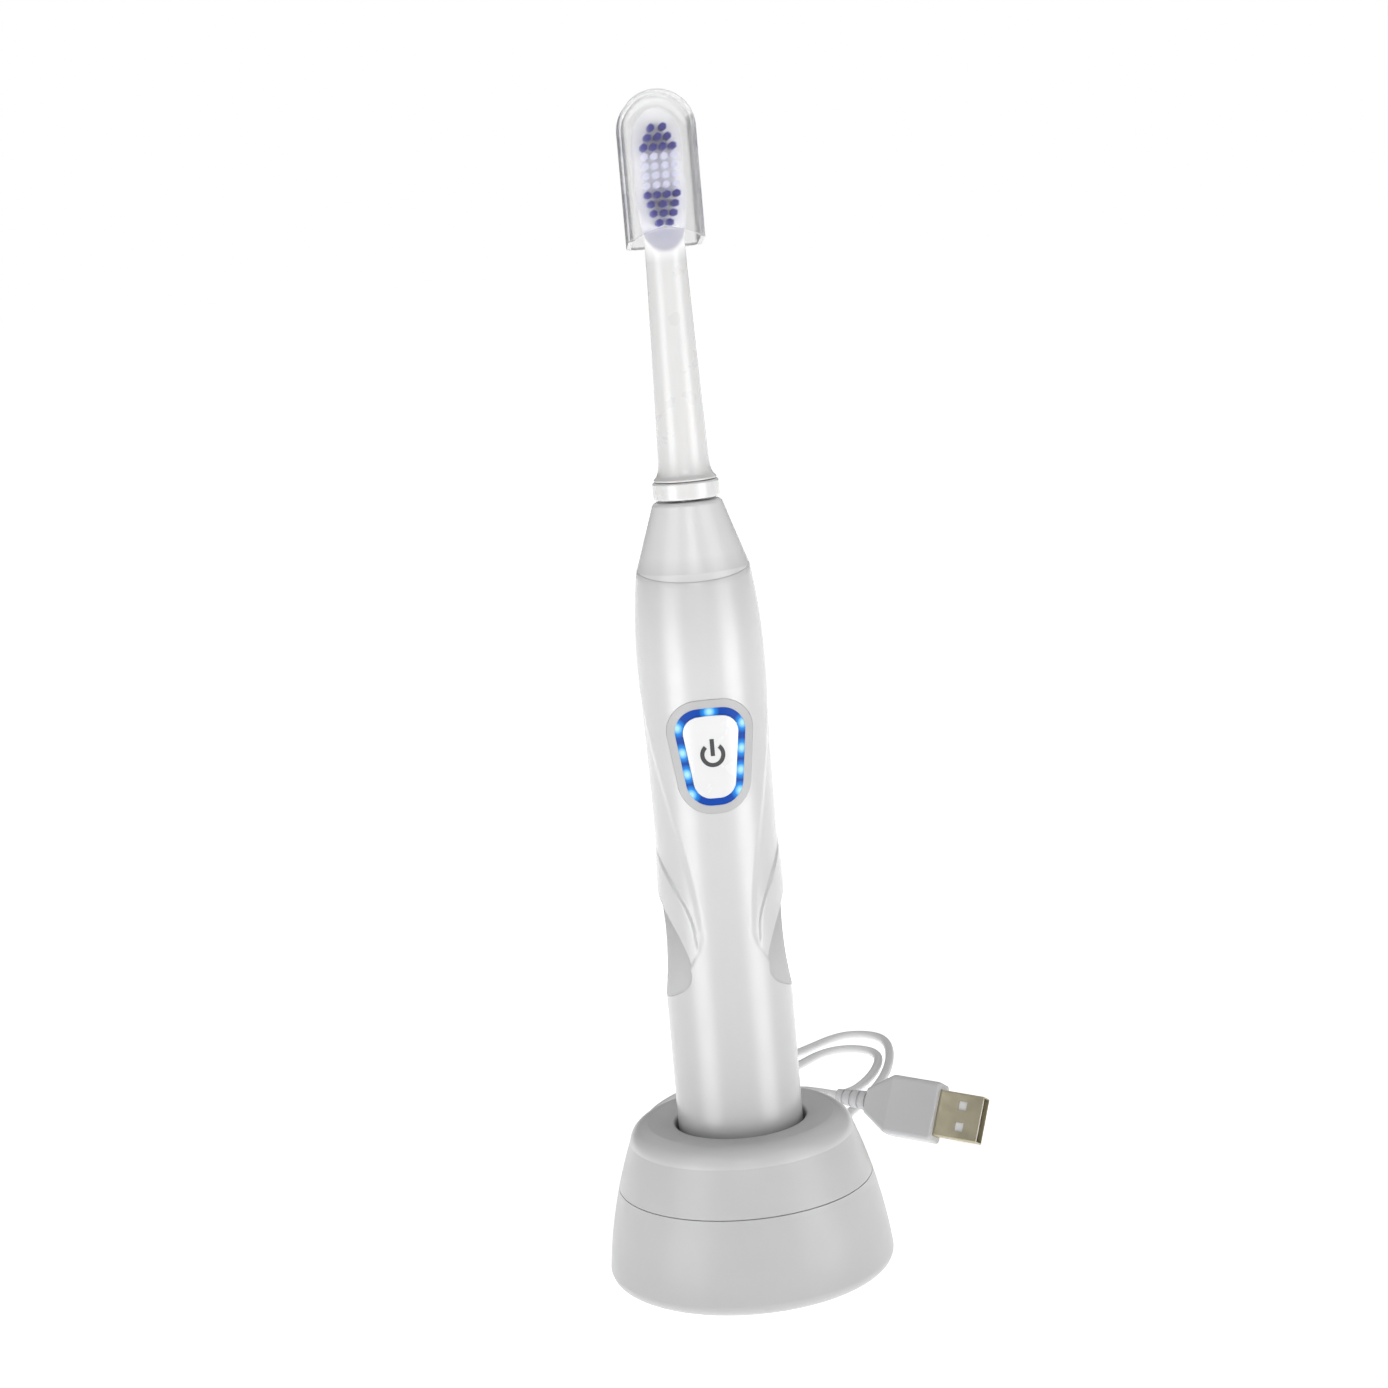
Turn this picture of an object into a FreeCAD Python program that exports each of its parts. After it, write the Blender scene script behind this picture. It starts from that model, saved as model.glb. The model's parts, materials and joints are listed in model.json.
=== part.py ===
import FreeCAD, Part
import math
import os

# Electric toothbrush standing in its charging base. Millimetres, +Z up.
# Origin: centre of the base's footprint, on the surface it stands on. The button faces -Y.

V = FreeCAD.Vector
Z_AXIS = V(0, 0, 1)

# ---------------------------------------------------------------- driving dimensions
OVERALL_TOP_Z = 268.7        # top of the travel cap

BASE_RADIUS = 33.0           # widest part of the base, near the floor
BASE_TOP_RADIUS = 21.5       # outer edge of the flat ring round the cup
BASE_TOP_Z = 36.7
BASE_UNDERSIDE_Z = 0.5
BASE_FLOOR_Z = 2.7           # inside of the base's bottom wall
BASE_PARTING_Z = 22.0
BASE_PARTING_GAP = 0.2
FOOT_INNER, FOOT_OUTER, FOOT_DEPTH = 23.0, 29.0, 1.65
SCREW_CIRCLE = 18.0
SCREW_ANGLES = (30, 150, 270)

CUP_RADIUS = 15.1
CUP_FLOOR_Z = 24.5
POST_RADIUS = 5.0            # induction post in the middle of the cup
POST_TOP_Z = 34.0

HANDLE_RADIUS = 14.4
HANDLE_BORE = 11.8
HANDLE_FOOT_Z = CUP_FLOOR_Z + 0.1
CAP_FLANGE_TOP_Z = 27.0
SHOULDER_Z = 143.0           # the straight tube starts to narrow here
SHOULDER_ARC = 137.5
SHOULDER_TOP_Z = 164.3
NOSE_TOP_RADIUS = 7.6
NOSE_TOP_Z = 179.5
SEAM_Z = 165.0               # seam of the nose cone, on the axis
SEAM_TILT = 10.5             # degrees, lower at the front

BUTTON_Z = 123.75            # middle of the button's frame
FRAME_HEIGHT = 25.5
FRAME_TOP_WIDTH = 21.0
FRAME_TAPER = 0.1228         # narrowing of each side per millimetre downwards
FRAME_CORNER = 7.2
FRAME_MARGIN = 1.8           # width of the grey frame
LIGHT_WIDTH = 1.6            # width of the light ring
BUTTON_GAP = 0.12
BUTTON_TRAVEL = 0.4

SHAFT_RADIUS = 1.9
SHAFT_FOOT_Z, SHAFT_TOP_Z = 117.8, 205.0
BEARING_BORE = SHAFT_RADIUS + 0.05
MOTOR_RADIUS, MOTOR_WALL = 7.2, 1.0
MOTOR_Z0, MOTOR_Z1 = 116.0, 152.0
MAGNET_RADIUS = 4.2
MAGNET_Z0, MAGNET_Z1 = 122.0, 146.0

BOARD_FRONT_Y, BOARD_THICKNESS = -8.6, 1.0
BOARD_HALF_WIDTH = 7.5
BOARD_Z0, BOARD_Z1 = 84.0, 150.0
LAMP_DEPTH = 0.6
LAMP_REACH = 6.8             # farthest a lamp's middle sits from the board's centreline

BATTERY_RADIUS, BATTERY_Y = 7.1, 1.5
BATTERY_Z0, BATTERY_Z1 = 46.0, 96.0

RING_Z0, RING_Z1 = 180.0, 183.9      # ring at the foot of the brush head
RING_RADIUS = 7.45
NECK_FOOT_RADIUS, NECK_TOP_RADIUS = 5.7, 4.3
NECK_TOP_Z = 240.0
SOCKET_TOP_Z = 206.0
HEAD_FRONT_Y, HEAD_BACK_Y = -0.5, 4.0
HEAD_HALF_WIDTH = 5.55
HEAD_CROWN_Z, HEAD_TOP_Z = 257.0, 265.2

TUFT_RADIUS = 0.85
TUFT_TIP_Y = -10.2
TUFT_DEPTH = 2.5
TUFT_PITCH_Z = 2.03
TUFT_TOP_Z = 260.7
TUFT_ROWS = ((2, 2.5), (3, 4.4), (4, 6.3), (4, 6.4), (4, 6.4), (4, 6.4), (4, 6.4), (4, 6.3),
             (3, 5.2), (3, 4.3), (2, 2.3))      # tufts in each row and the row's width, from the top
WHITE_ROWS = (3, 4, 5, 6)

TRAVEL_CAP_HALF_WIDTH = 8.35
TRAVEL_CAP_FRONT_Y, TRAVEL_CAP_BACK_Y = -12.4, 5.9
TRAVEL_CAP_FOOT_Z = 235.0
TRAVEL_CAP_WALL = 1.0
TRAVEL_CAP_EDGE = 3.0        # rounding of its outer edges

CORD_DIAMETER = 2.6
CORD_Z = CORD_DIAMETER / 2
EXIT_Y, EXIT_Z = 46.0, 6.5           # end face of the strain relief
PLUG_AT = V(55.54, 70.41, 8.2)       # middle of the plug's front face, where the metal comes out
PLUG_YAW, PLUG_PITCH, PLUG_LEAN = -32.0, 5.1, -28.0
PLUG_BODY, PLUG_TAPER, PLUG_TAIL = 13.0, 7.0, 9.0
USB_WIDTH, USB_THICKNESS, USB_LENGTH = 12.0, 4.5, 12.0


# ---------------------------------------------------------------- shape helpers
def face_from(steps, place):
    """Closed face. A step (u, v) ends a straight edge; ((u, v), (u, v)) is an arc's middle and end."""
    edges = []
    here = place(*steps[0])
    for step in steps[1:] + [steps[0]]:
        if isinstance(step[0], tuple):
            end = place(*step[1])
            edges.append(Part.Arc(here, place(*step[0]), end).toShape())
        else:
            end = place(*step)
            edges.append(Part.LineSegment(here, end).toShape())
        here = end
    return Part.Face(Part.Wire(edges))


def turned(steps):
    """Solid of revolution about Z from (radius, z) steps."""
    return face_from(steps, lambda r, z: V(r, 0, z)).revolve(V(0, 0, 0), Z_AXIS, 360)


def tube(outer, inner, z0, z1, x=0.0, y=0.0):
    """Upright tube, or a rod where inner is 0."""
    body = Part.makeCylinder(outer, z1 - z0, V(x, y, z0))
    if inner:
        body = body.cut(Part.makeCylinder(inner, z1 - z0, V(x, y, z0)))
    return body


def block(x0, x1, y0, y1, z0, z1):
    return Part.makeBox(x1 - x0, y1 - y0, z1 - z0, V(x0, y0, z0))


def front_prism(steps, y0, y1):
    """Outline of (x, z) steps, pulled along Y."""
    return face_from(steps, lambda x, z: V(x, y0, z)).extrude(V(0, y1 - y0, 0))


def side_prism(steps, x0, x1):
    """Outline of (y, z) steps, pulled along X."""
    return face_from(steps, lambda y, z: V(x0, y, z)).extrude(V(x1 - x0, 0, 0))


def round_edges(body, radius, wanted):
    """Fillet the edges whose two ends and middle all pass the test wanted(point)."""
    edges = []
    for edge in body.Edges:
        middle = edge.valueAt((edge.FirstParameter + edge.LastParameter) / 2)
        points = [vertex.Point for vertex in edge.Vertexes] + [middle]
        if all(wanted(point) for point in points):
            edges.append(edge)
    return body.makeFillet(radius, edges)


def around(count, radius, angle0=0.0):
    """Evenly spaced places on a circle."""
    angles = [math.radians(angle0 + 360 * i / count) for i in range(count)]
    return [(radius * math.cos(a), radius * math.sin(a)) for a in angles]


# ---------------------------------------------------------------- charging base
def base_outside():
    """Rounded bell: bulging wall, soft shoulder, and a top ring that dips a little to the cup."""
    return turned([
        (0, BASE_UNDERSIDE_Z), (BASE_RADIUS - 2.6, BASE_UNDERSIDE_Z),
        ((BASE_RADIUS - 0.75, 1.3), (BASE_RADIUS, 3.2)),
        ((30.47, 17.98), (26.0, 32.5)),
        ((24.6, 35.3), (BASE_TOP_RADIUS, BASE_TOP_Z)),
        (CUP_RADIUS, BASE_TOP_Z - 0.5), (0, BASE_TOP_Z - 0.5)])


def base_inside():
    return turned([
        (0, BASE_FLOOR_Z), (30.2, BASE_FLOOR_Z), (31.0, 4.2),
        ((28.5, 17.5), (24.2, 31.2)),
        ((22.9, 33.5), (20.5, 34.7)), (0, 34.7)])


def screw_places():
    return [(SCREW_CIRCLE * math.cos(math.radians(a)), SCREW_CIRCLE * math.sin(math.radians(a)))
            for a in SCREW_ANGLES]


def base_shell():
    below = tube(40, 0, 0, BASE_PARTING_Z - BASE_PARTING_GAP / 2)
    shell = base_outside().cut(base_inside()).common(below)
    board_rest = tube(12.5, 11.0, BASE_FLOOR_Z - 0.5, 14.8)
    posts = [tube(3.4, 0, BASE_FLOOR_Z - 0.5, 8.0, x, y) for x, y in screw_places()]
    shell = shell.fuse([board_rest] + posts)
    holes = [tube(FOOT_OUTER + 0.05, FOOT_INNER - 0.05, 0, FOOT_DEPTH)]
    holes.append(Part.makeCylinder(2.9, 10, V(0, 26, EXIT_Z), V(0, 1, 0)))
    for x, y in screw_places():
        holes.append(tube(1.5, 0, 0, 9, x, y))
        holes.append(tube(2.6, 0, 0, 4.0, x, y))
    return shell.cut(holes)


def base_cover():
    """Upper housing: bell wall, cup, hollow post, screw posts and a lip that locates it in the shell."""
    above = tube(40, 0, BASE_PARTING_Z + BASE_PARTING_GAP / 2, BASE_TOP_Z + 1)
    cover = base_outside().cut(base_inside()).common(above)
    cup = tube(CUP_RADIUS + 1.8, 0, CUP_FLOOR_Z - 1.8, BASE_TOP_Z - 0.7)
    lip = tube(27.3, 26.0, 19.8, 23.5)
    posts = [tube(2.8, 0, 8.1, 35.0, x, y) for x, y in screw_places()]
    cover = cover.fuse([cup, lip] + posts)
    cup_space = turned([
        (0, CUP_FLOOR_Z), (CUP_RADIUS, CUP_FLOOR_Z), (CUP_RADIUS, BASE_TOP_Z - 1.2),
        ((CUP_RADIUS + 0.2, BASE_TOP_Z - 0.7), (CUP_RADIUS + 0.8, BASE_TOP_Z - 0.4)),
        (CUP_RADIUS + 0.8, BASE_TOP_Z + 1), (0, BASE_TOP_Z + 1)])
    cover = cover.cut(cup_space)
    post = turned([
        (0, CUP_FLOOR_Z - 0.5), (POST_RADIUS, CUP_FLOOR_Z - 0.5), (POST_RADIUS, POST_TOP_Z - 1.2),
        ((POST_RADIUS - 0.35, POST_TOP_Z - 0.35), (POST_RADIUS - 1.2, POST_TOP_Z)), (0, POST_TOP_Z)])
    cover = cover.fuse(post)
    holes = [tube(3.9, 0, CUP_FLOOR_Z - 3, POST_TOP_Z - 1.2)]
    holes += [tube(1.3, 0, 8, 20, x, y) for x, y in screw_places()]
    return cover.cut(holes)


def base_screws():
    screws = []
    for x, y in screw_places():
        head = tube(2.4, 0, 2.2, 3.9, x, y).cut(block(x - 1.6, x + 1.6, y - 0.3, y + 0.3, 2.0, 2.9))
        head = head.cut(block(x - 0.3, x + 0.3, y - 1.6, y + 1.6, 2.0, 2.9))
        screws.append(head.fuse(tube(1.2, 0, 3.8, 17.5, x, y)))
    return Part.makeCompound(screws)


def foot_ring():
    return turned([
        (FOOT_INNER, 0.5), (FOOT_INNER + 0.5, 0), (FOOT_OUTER - 0.5, 0), (FOOT_OUTER, 0.5),
        (FOOT_OUTER, FOOT_DEPTH - 0.05), (FOOT_INNER, FOOT_DEPTH - 0.05)])


def charger_pcb():
    top = 16.4
    board = tube(13.6, 0, 14.9, top)
    parts = [block(4, 9, -5, 0, top - 0.1, top + 2.6), block(-9, -5, -2, 4, top - 0.1, top + 1.4)]
    parts += [tube(2.0, 0, top - 0.1, top + 4.5, 0, 8.5), block(-3, 3, -10, -7, top - 0.1, top + 1.6)]
    return board.fuse(parts)


def ferrite_core():
    return tube(1.9, 0, 16.5, 32.5)


def primary_coil():
    return turned([(2.0, 23.5), (3.7, 23.5), (3.7, 32.3), (2.0, 32.3)])


def strain_relief():
    """Flange inside the wall, neck through it, collar and ribbed cone outside, pointing to the back."""
    steps = [(0, 27.8), (3.6, 27.8), (3.6, 29.8), (2.8, 29.8), (2.8, 33.0), (3.4, 33.0), (3.4, 34.4)]
    ribs = 5
    length = EXIT_Y - 34.4
    pitch = length / ribs
    for i in range(ribs):
        radius = 2.9 - 1.1 * i / ribs
        start = 34.4 + i * pitch
        steps += [(radius - 0.45, start), (radius - 0.45, start + 0.7), (radius, start + 0.7),
                  (radius - 0.15, start + pitch)]
    steps += [(0, EXIT_Y)]
    sleeve = face_from(steps, lambda r, y: V(r, y, 0)).revolve(V(0, 0, 0), V(0, 1, 0), 360)
    sleeve.translate(V(0, 0, EXIT_Z))
    return sleeve


# ---------------------------------------------------------------- cord and USB-A plug
def plug_placement():
    turn = FreeCAD.Rotation(Z_AXIS, PLUG_YAW)
    turn = turn.multiply(FreeCAD.Rotation(V(0, 1, 0), PLUG_PITCH))
    turn = turn.multiply(FreeCAD.Rotation(V(1, 0, 0), PLUG_LEAN))
    return FreeCAD.Placement(PLUG_AT, turn)


def placed_on_plug(shape):
    """The plug is drawn along +X, its width along Z, then laid on its edge behind the base."""
    shape.Placement = plug_placement()
    return shape


def rounded_section(x, half_y, half_z, radius):
    """Rounded rectangle across the plug's length."""
    corner = radius * (1 - math.sqrt(0.5))
    steps = [
        (half_y - radius, -half_z), ((half_y - corner, -half_z + corner), (half_y, -half_z + radius)),
        (half_y, half_z - radius), ((half_y - corner, half_z - corner), (half_y - radius, half_z)),
        (radius - half_y, half_z), ((corner - half_y, half_z - corner), (-half_y, half_z - radius)),
        (-half_y, radius - half_z), ((corner - half_y, corner - half_z), (radius - half_y, -half_z))]
    return face_from(steps, lambda y, z: V(x, y, z))


def usb_overmould():
    """Moulded grip, tapering to a ribbed tail round the cord."""
    widest = rounded_section(-PLUG_BODY, 4.0, 7.75, 1.3)
    grip = widest.extrude(V(PLUG_BODY, 0, 0))
    grip = round_edges(grip, 0.6, lambda p: abs(p.x) < 0.01)
    taper_end = -PLUG_BODY - PLUG_TAPER
    narrowest = rounded_section(taper_end, 2.9, 3.4, 1.3)
    taper = Part.makeLoft([widest.OuterWire, narrowest.OuterWire], True, True)
    tail_steps = [(taper_end + 0.5, 0), (taper_end + 0.5, 2.6)]
    ribs = 4
    pitch = PLUG_TAIL / ribs
    for i in range(ribs):
        start = taper_end - i * pitch
        radius = 2.6 - 0.8 * i / ribs
        tail_steps += [(start, radius - 0.4), (start - 0.6, radius - 0.4), (start - 0.6, radius),
                       (start - pitch, radius - 0.1)]
    tail_steps += [(taper_end - PLUG_TAIL, 0)]
    tail = face_from(tail_steps, lambda x, r: V(x, r, 0)).revolve(V(0, 0, 0), V(1, 0, 0), 360)
    socket = block(-4.1, 1, -USB_THICKNESS / 2 - 0.05, USB_THICKNESS / 2 + 0.05,
                   -USB_WIDTH / 2 - 0.05, USB_WIDTH / 2 + 0.05)
    return placed_on_plug(grip.fuse([taper, tail]).cut(socket))


def usb_shell():
    """Folded metal shell with two square windows on each broad side."""
    wall = 0.35
    half_y, half_z = USB_THICKNESS / 2, USB_WIDTH / 2

    def on_corner(point):
        return abs(abs(point.y) - half_y) < 0.01 and abs(abs(point.z) - half_z) < 0.01

    outside = round_edges(block(-4.0, USB_LENGTH, -half_y, half_y, -half_z, half_z), 0.5, on_corner)
    inside = block(-5.0, USB_LENGTH + 1, wall - half_y, half_y - wall, wall - half_z, half_z - wall)
    windows = [block(5.6, 7.9, -half_y - 1, half_y + 1, z - 1.15, z + 1.15) for z in (-2.75, 2.75)]
    return placed_on_plug(outside.cut(inside).cut(windows))


def usb_tongue():
    root = block(-3.9, 0.5, -1.85, 1.85, -5.6, 5.6)
    tongue = block(0.4, USB_LENGTH - 0.6, -1.85, -0.05, -5.5, 5.5)
    return placed_on_plug(root.fuse(tongue))


def usb_contacts():
    strips = [block(1.5, USB_LENGTH - 1.4, 0.0, 0.2, z - 0.5, z + 0.5) for z in (-3.5, -1.0, 1.0, 3.5)]
    return placed_on_plug(Part.makeCompound(strips))


def cord_route():
    """Loose two-turn loop lying behind the base, from the strain relief to the plug's tail."""
    tail_x = -PLUG_BODY - PLUG_TAPER - PLUG_TAIL
    tail = plug_placement().multVec(V(tail_x, 0, 0))
    before_tail = plug_placement().multVec(V(tail_x - 9.3, 0, 0))
    flat = [
        (-11, 70), (-20, 84), (-22, 103), (-15, 123), (-1, 138), (16, 148), (30, 160.5), (40, 170.5),
        (47.8, 170.3), (53, 164.6), (53.6, 152.5), (50.5, 134), (43.5, 114.5), (34.5, 98), (25.5, 82),
        (17, 68), (5, 61), (-6, 69), (-10, 86), (-7, 105), (3, 121), (15, 133), (25.5, 145),
        (33.6, 155.6), (41.6, 157.6), (48.2, 153.0), (49.6, 144.2), (44.4, 127), (36.3, 114.2)]
    route = [V(0, EXIT_Y, EXIT_Z), V(0, EXIT_Y + 11.5, EXIT_Z)]
    route += [V(x, y, CORD_Z) for x, y in flat]
    route += [V(26.2, 107.8, 4.4), V(21.0, 100.4, 8.2), before_tail, tail]
    return route


def cord_path(points):
    """Straight runs joined by tangent arcs, each arc as large as its two runs allow."""
    edges = []
    radii = []
    here = points[0]
    for before, corner, after in zip(points, points[1:], points[2:]):
        way_in = (corner - before).normalize()
        way_out = (after - corner).normalize()
        half_turn = way_in.getAngle(way_out) / 2
        reach = 0.45 * min((corner - before).Length, (after - corner).Length)
        radius = reach / math.tan(half_turn)
        inward = (way_out - way_in).normalize()
        middle = corner + inward * (radius / math.cos(half_turn) - radius)
        start = corner - way_in * reach
        end = corner + way_out * reach
        edges.append(Part.LineSegment(here, start).toShape())
        edges.append(Part.Arc(start, middle, end).toShape())
        radii.append(radius)
        here = end
    edges.append(Part.LineSegment(here, points[-1]).toShape())
    return Part.Wire(edges), radii


def power_cord():
    points = cord_route()
    path, radii = cord_path(points)
    ring = Part.makeCircle(CORD_DIAMETER / 2, points[0], points[1] - points[0])
    cord = path.makePipeShell([Part.Wire(ring)], True, False)
    section = math.pi * (CORD_DIAMETER / 2) ** 2
    print("cord length %.1f" % path.Length)
    print("cord volume over section times length %.4f" % (cord.Volume / section / path.Length))
    print("cord radii", " ".join("%.1f" % radius for radius in radii))
    print("cord runs", " ".join("%.0f" % (b - a).Length for a, b in zip(points, points[1:])))
    return cord


# ---------------------------------------------------------------- handle
def handle_outside():
    """Straight tube, a long gentle shoulder, then a cone up to the brush."""
    angle = math.asin((SHOULDER_TOP_Z - SHOULDER_Z) / SHOULDER_ARC)

    def on_arc(part):
        return (HANDLE_RADIUS - SHOULDER_ARC * (1 - math.cos(angle * part)),
                SHOULDER_Z + SHOULDER_ARC * math.sin(angle * part))

    return turned([
        (0, CAP_FLANGE_TOP_Z + 0.1), (HANDLE_RADIUS - 0.3, CAP_FLANGE_TOP_Z + 0.1),
        (HANDLE_RADIUS, CAP_FLANGE_TOP_Z + 0.4), (HANDLE_RADIUS, SHOULDER_Z),
        (on_arc(0.5), on_arc(1.0)),
        (NOSE_TOP_RADIUS + 0.35, NOSE_TOP_Z - 0.9),
        ((NOSE_TOP_RADIUS - 0.1, NOSE_TOP_Z - 0.3), (NOSE_TOP_RADIUS - 0.8, NOSE_TOP_Z)),
        (0, NOSE_TOP_Z)])


def below_seam(shift):
    """Everything under the slanted seam plane, moved up by shift."""
    half_space = Part.makeBox(200, 200, 200, V(-100, -100, -200))
    half_space.rotate(V(0, 0, 0), V(1, 0, 0), SEAM_TILT)
    half_space.translate(V(0, 0, SEAM_Z + shift))
    return half_space


def button_outline(inset, y0, y1):
    """Shield shape of the button and its frames, pulled along Y. inset shrinks it all round."""
    half_height = FRAME_HEIGHT / 2 - inset
    top, bottom = BUTTON_Z + half_height, BUTTON_Z - half_height
    half_top = FRAME_TOP_WIDTH / 2 - inset * (1 + FRAME_TAPER)
    half_bottom = half_top - FRAME_TAPER * 2 * half_height
    arch = 0.9
    prism = front_prism([
        (-half_bottom, bottom + 0.3), ((0, bottom), (half_bottom, bottom + 0.3)),
        (half_top, top - arch), ((0, top), (-half_top, top - arch))], y0, y1)
    return round_edges_along_y(prism, max(FRAME_CORNER - inset, 2.0))


def round_edges_along_y(prism, radius):
    long_edges = [edge for edge in prism.Edges
                  if abs(edge.Vertexes[0].Point.y - edge.Vertexes[-1].Point.y) > 1]
    return prism.makeFillet(radius, long_edges)


# Outlines of the three leaves on each side of the grip, as (y, z). They overlap downwards.
LEAF_1 = [(0, 143), ((8.6, 119.4), (13.5, 85)), ((11.6, 76), (0, 70)), ((-11.6, 76), (-13.5, 85)),
          ((-8.6, 119.4), (0, 143))]
LEAF_2 = [(0, 102.5), ((8.5, 95.3), (12.5, 82)), ((10.8, 74.5), (0, 70)), ((-10.8, 74.5), (-12.5, 82)),
          ((-8.5, 95.3), (0, 102.5))]
LEAF_3 = [(0, 91.5), ((8.0, 85.2), (11.3, 75)), ((10.6, 71), (8.0, 69)), ((4.2, 67.6), (0, 67.2)),
          ((-4.2, 67.6), (-8.0, 69)), ((-10.6, 71), (-11.3, 75)), ((-8.0, 85.2), (0, 91.5))]

# Surfaces of the leaves: each is an arc through three (radius, z) points, turned about the axis.
LEAF_1_SURFACE = ((14.45, 144), (13.84, 101), (14.35, 69))
LEAF_2_SURFACE = ((13.75, 104), (14.33, 94.5), (13.7, 69))
LEAF_3_SURFACE = ((13.9, 92), (13.3, 84), (14.45, 67))
PAD_THICKNESS = 0.9


def leaf_prism(steps, side, inset=0.0):
    """Prism through one side of the handle with the leaf's outline, drawn in by inset."""
    edges = []
    here = V(6, *steps[0])
    for middle, end in steps[1:]:
        edges.append(Part.Arc(here, V(6, *middle), V(6, *end)).toShape())
        here = V(6, *end)
    outline = Part.Face(Part.Wire(edges))
    if inset:
        outline = outline.makeOffset2D(-inset)
    prism = outline.extrude(V(14, 0, 0))
    return prism if side > 0 else prism.mirror(V(0, 0, 0), V(1, 0, 0))


def leaf_core(surface, sink=0.0):
    """Turned solid whose wall is the leaf's surface; sink moves it inwards."""
    (r0, z0), (r1, z1), (r2, z2) = surface
    return turned([(0, z2), (r2 - sink, z2), ((r1 - sink, z1), (r0 - sink, z0)), (0, z0)])


def handle_shell():
    """White housing: bore, window for the button, and three overlapping leaves carved in each side."""
    bore = turned([(0, 20), (HANDLE_BORE, 20), (HANDLE_BORE, 157), (10.7, 158.2), (10.7, 175), (0, 175)])
    shell = handle_outside().common(below_seam(-0.05)).cut(bore)
    pad_floor = leaf_core(LEAF_3_SURFACE, PAD_THICKNESS)
    for side in (1, -1):
        first = leaf_prism(LEAF_1, side)
        second = leaf_prism(LEAF_2, side)
        shell = shell.cut(first.cut(second).cut(leaf_core(LEAF_1_SURFACE)))
        shell = shell.cut(second.cut(leaf_core(LEAF_2_SURFACE)))
        shell = shell.cut(leaf_prism(LEAF_3, side).cut(pad_floor))
    return shell.cut(button_outline(-0.05, -16, -4))


def grip_pad(side):
    """Soft grey pad that fills the lowest leaf."""
    pad = leaf_prism(LEAF_3, side, 0.05).common(leaf_core(LEAF_3_SURFACE))
    return pad.cut(leaf_core(LEAF_3_SURFACE, PAD_THICKNESS - 0.05))


def nose_cone():
    skirt = tube(10.6, 0, 152, 170).common(below_seam(1))
    cone = handle_outside().cut(below_seam(0.05)).fuse(skirt)
    space = turned([(0, 151), (9.3, 151), (9.3, 163), (5.0, 174), (5.0, 177.5), (2.6, 177.5), (2.6, 181),
                    (0, 181)])
    return cone.cut(space)


def bottom_cap():
    """Foot of the handle. Its blind bore goes over the induction post; the coil sits round the bore."""
    return turned([
        (POST_RADIUS + 0.3, HANDLE_FOOT_Z), (HANDLE_RADIUS - 0.9, HANDLE_FOOT_Z),
        ((HANDLE_RADIUS - 0.25, HANDLE_FOOT_Z + 0.25), (HANDLE_RADIUS, HANDLE_FOOT_Z + 0.9)),
        (HANDLE_RADIUS, CAP_FLANGE_TOP_Z), (11.7, CAP_FLANGE_TOP_Z), (11.7, 36.9), (10.2, 36.9), (10.2, 38.5),
        (11.7, 38.5), (11.7, 41.0), (9.0, 41.0), (9.0, 29.0), (6.6, 29.0), (6.6, 36.4), (0, 36.4),
        (0, POST_TOP_Z + 1), (POST_RADIUS + 0.3, POST_TOP_Z + 1)])


def bottom_seal():
    return Part.makeTorus(11.0, 0.75, V(0, 0, 37.7))


def secondary_coil():
    return turned([(6.7, 29.1), (8.9, 29.1), (8.9, 36.2), (6.7, 36.2)])


def chassis():
    """Cradle behind the battery and motor, with three cross walls."""
    cradle = tube(11.6, 10.3, 43, 150).common(block(-12, 12, -1, 12, 43, 150))
    walls = [tube(11.6, 0, z, z + 2).common(block(-12, 12, -7.3, 12, z, z + 2)) for z in (43, 98, 113.8)]
    return cradle.fuse(walls)


def battery():
    return tube(BATTERY_RADIUS, 0, BATTERY_Z0, BATTERY_Z1, 0, BATTERY_Y).fuse(
        tube(2.4, 0, BATTERY_Z1 - 0.1, BATTERY_Z1 + 0.9, 0, BATTERY_Y))


def battery_contacts():
    plates = [tube(5.5, 0, 45.1, 45.8, 0, BATTERY_Y), tube(5.5, 0, 97.0, 97.9, 0, BATTERY_Y)]
    return Part.makeCompound(plates)


def motor_case():
    case = tube(MOTOR_RADIUS, 0, MOTOR_Z0, MOTOR_Z1)
    case = case.cut(tube(MOTOR_RADIUS - MOTOR_WALL, 0, MOTOR_Z0 + 1.5, MOTOR_Z1 - 1.5))
    return case.cut(tube(3.0, 0, MOTOR_Z1 - 2, MOTOR_Z1 + 1))


def bearing(z0):
    return turned([(BEARING_BORE, z0), (4.9, z0), (4.9, z0 + 2.8), (BEARING_BORE, z0 + 2.8)])


def stator_coil():
    return tube(6.1, MAGNET_RADIUS + 0.4, MAGNET_Z0, MAGNET_Z1)


def shaft_seal():
    """Lip seal in the top of the nose cone."""
    return turned([(BEARING_BORE, 176.6), (BEARING_BORE, 175.6), (3.2, 174.6), (4.9, 174.6), (4.9, 177.4),
                   (3.4, 177.4), (3.0, 176.6)])


def handle_pcb():
    back = BOARD_FRONT_Y + BOARD_THICKNESS
    board = block(-BOARD_HALF_WIDTH, BOARD_HALF_WIDTH, BOARD_FRONT_Y, back, BOARD_Z0, BOARD_Z1)
    front = BOARD_FRONT_Y
    chips = [(-3, 3, 1.2, 98, 104), (-5.5, -3.5, 0.8, 89, 93), (2.5, 5.5, 0.9, 88, 91),
             (-2, 2, 1.5, 141, 146)]
    return board.fuse([block(x0, x1, front - tall, front + 0.1, z0, z1) for x0, x1, tall, z0, z1 in chips])


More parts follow.
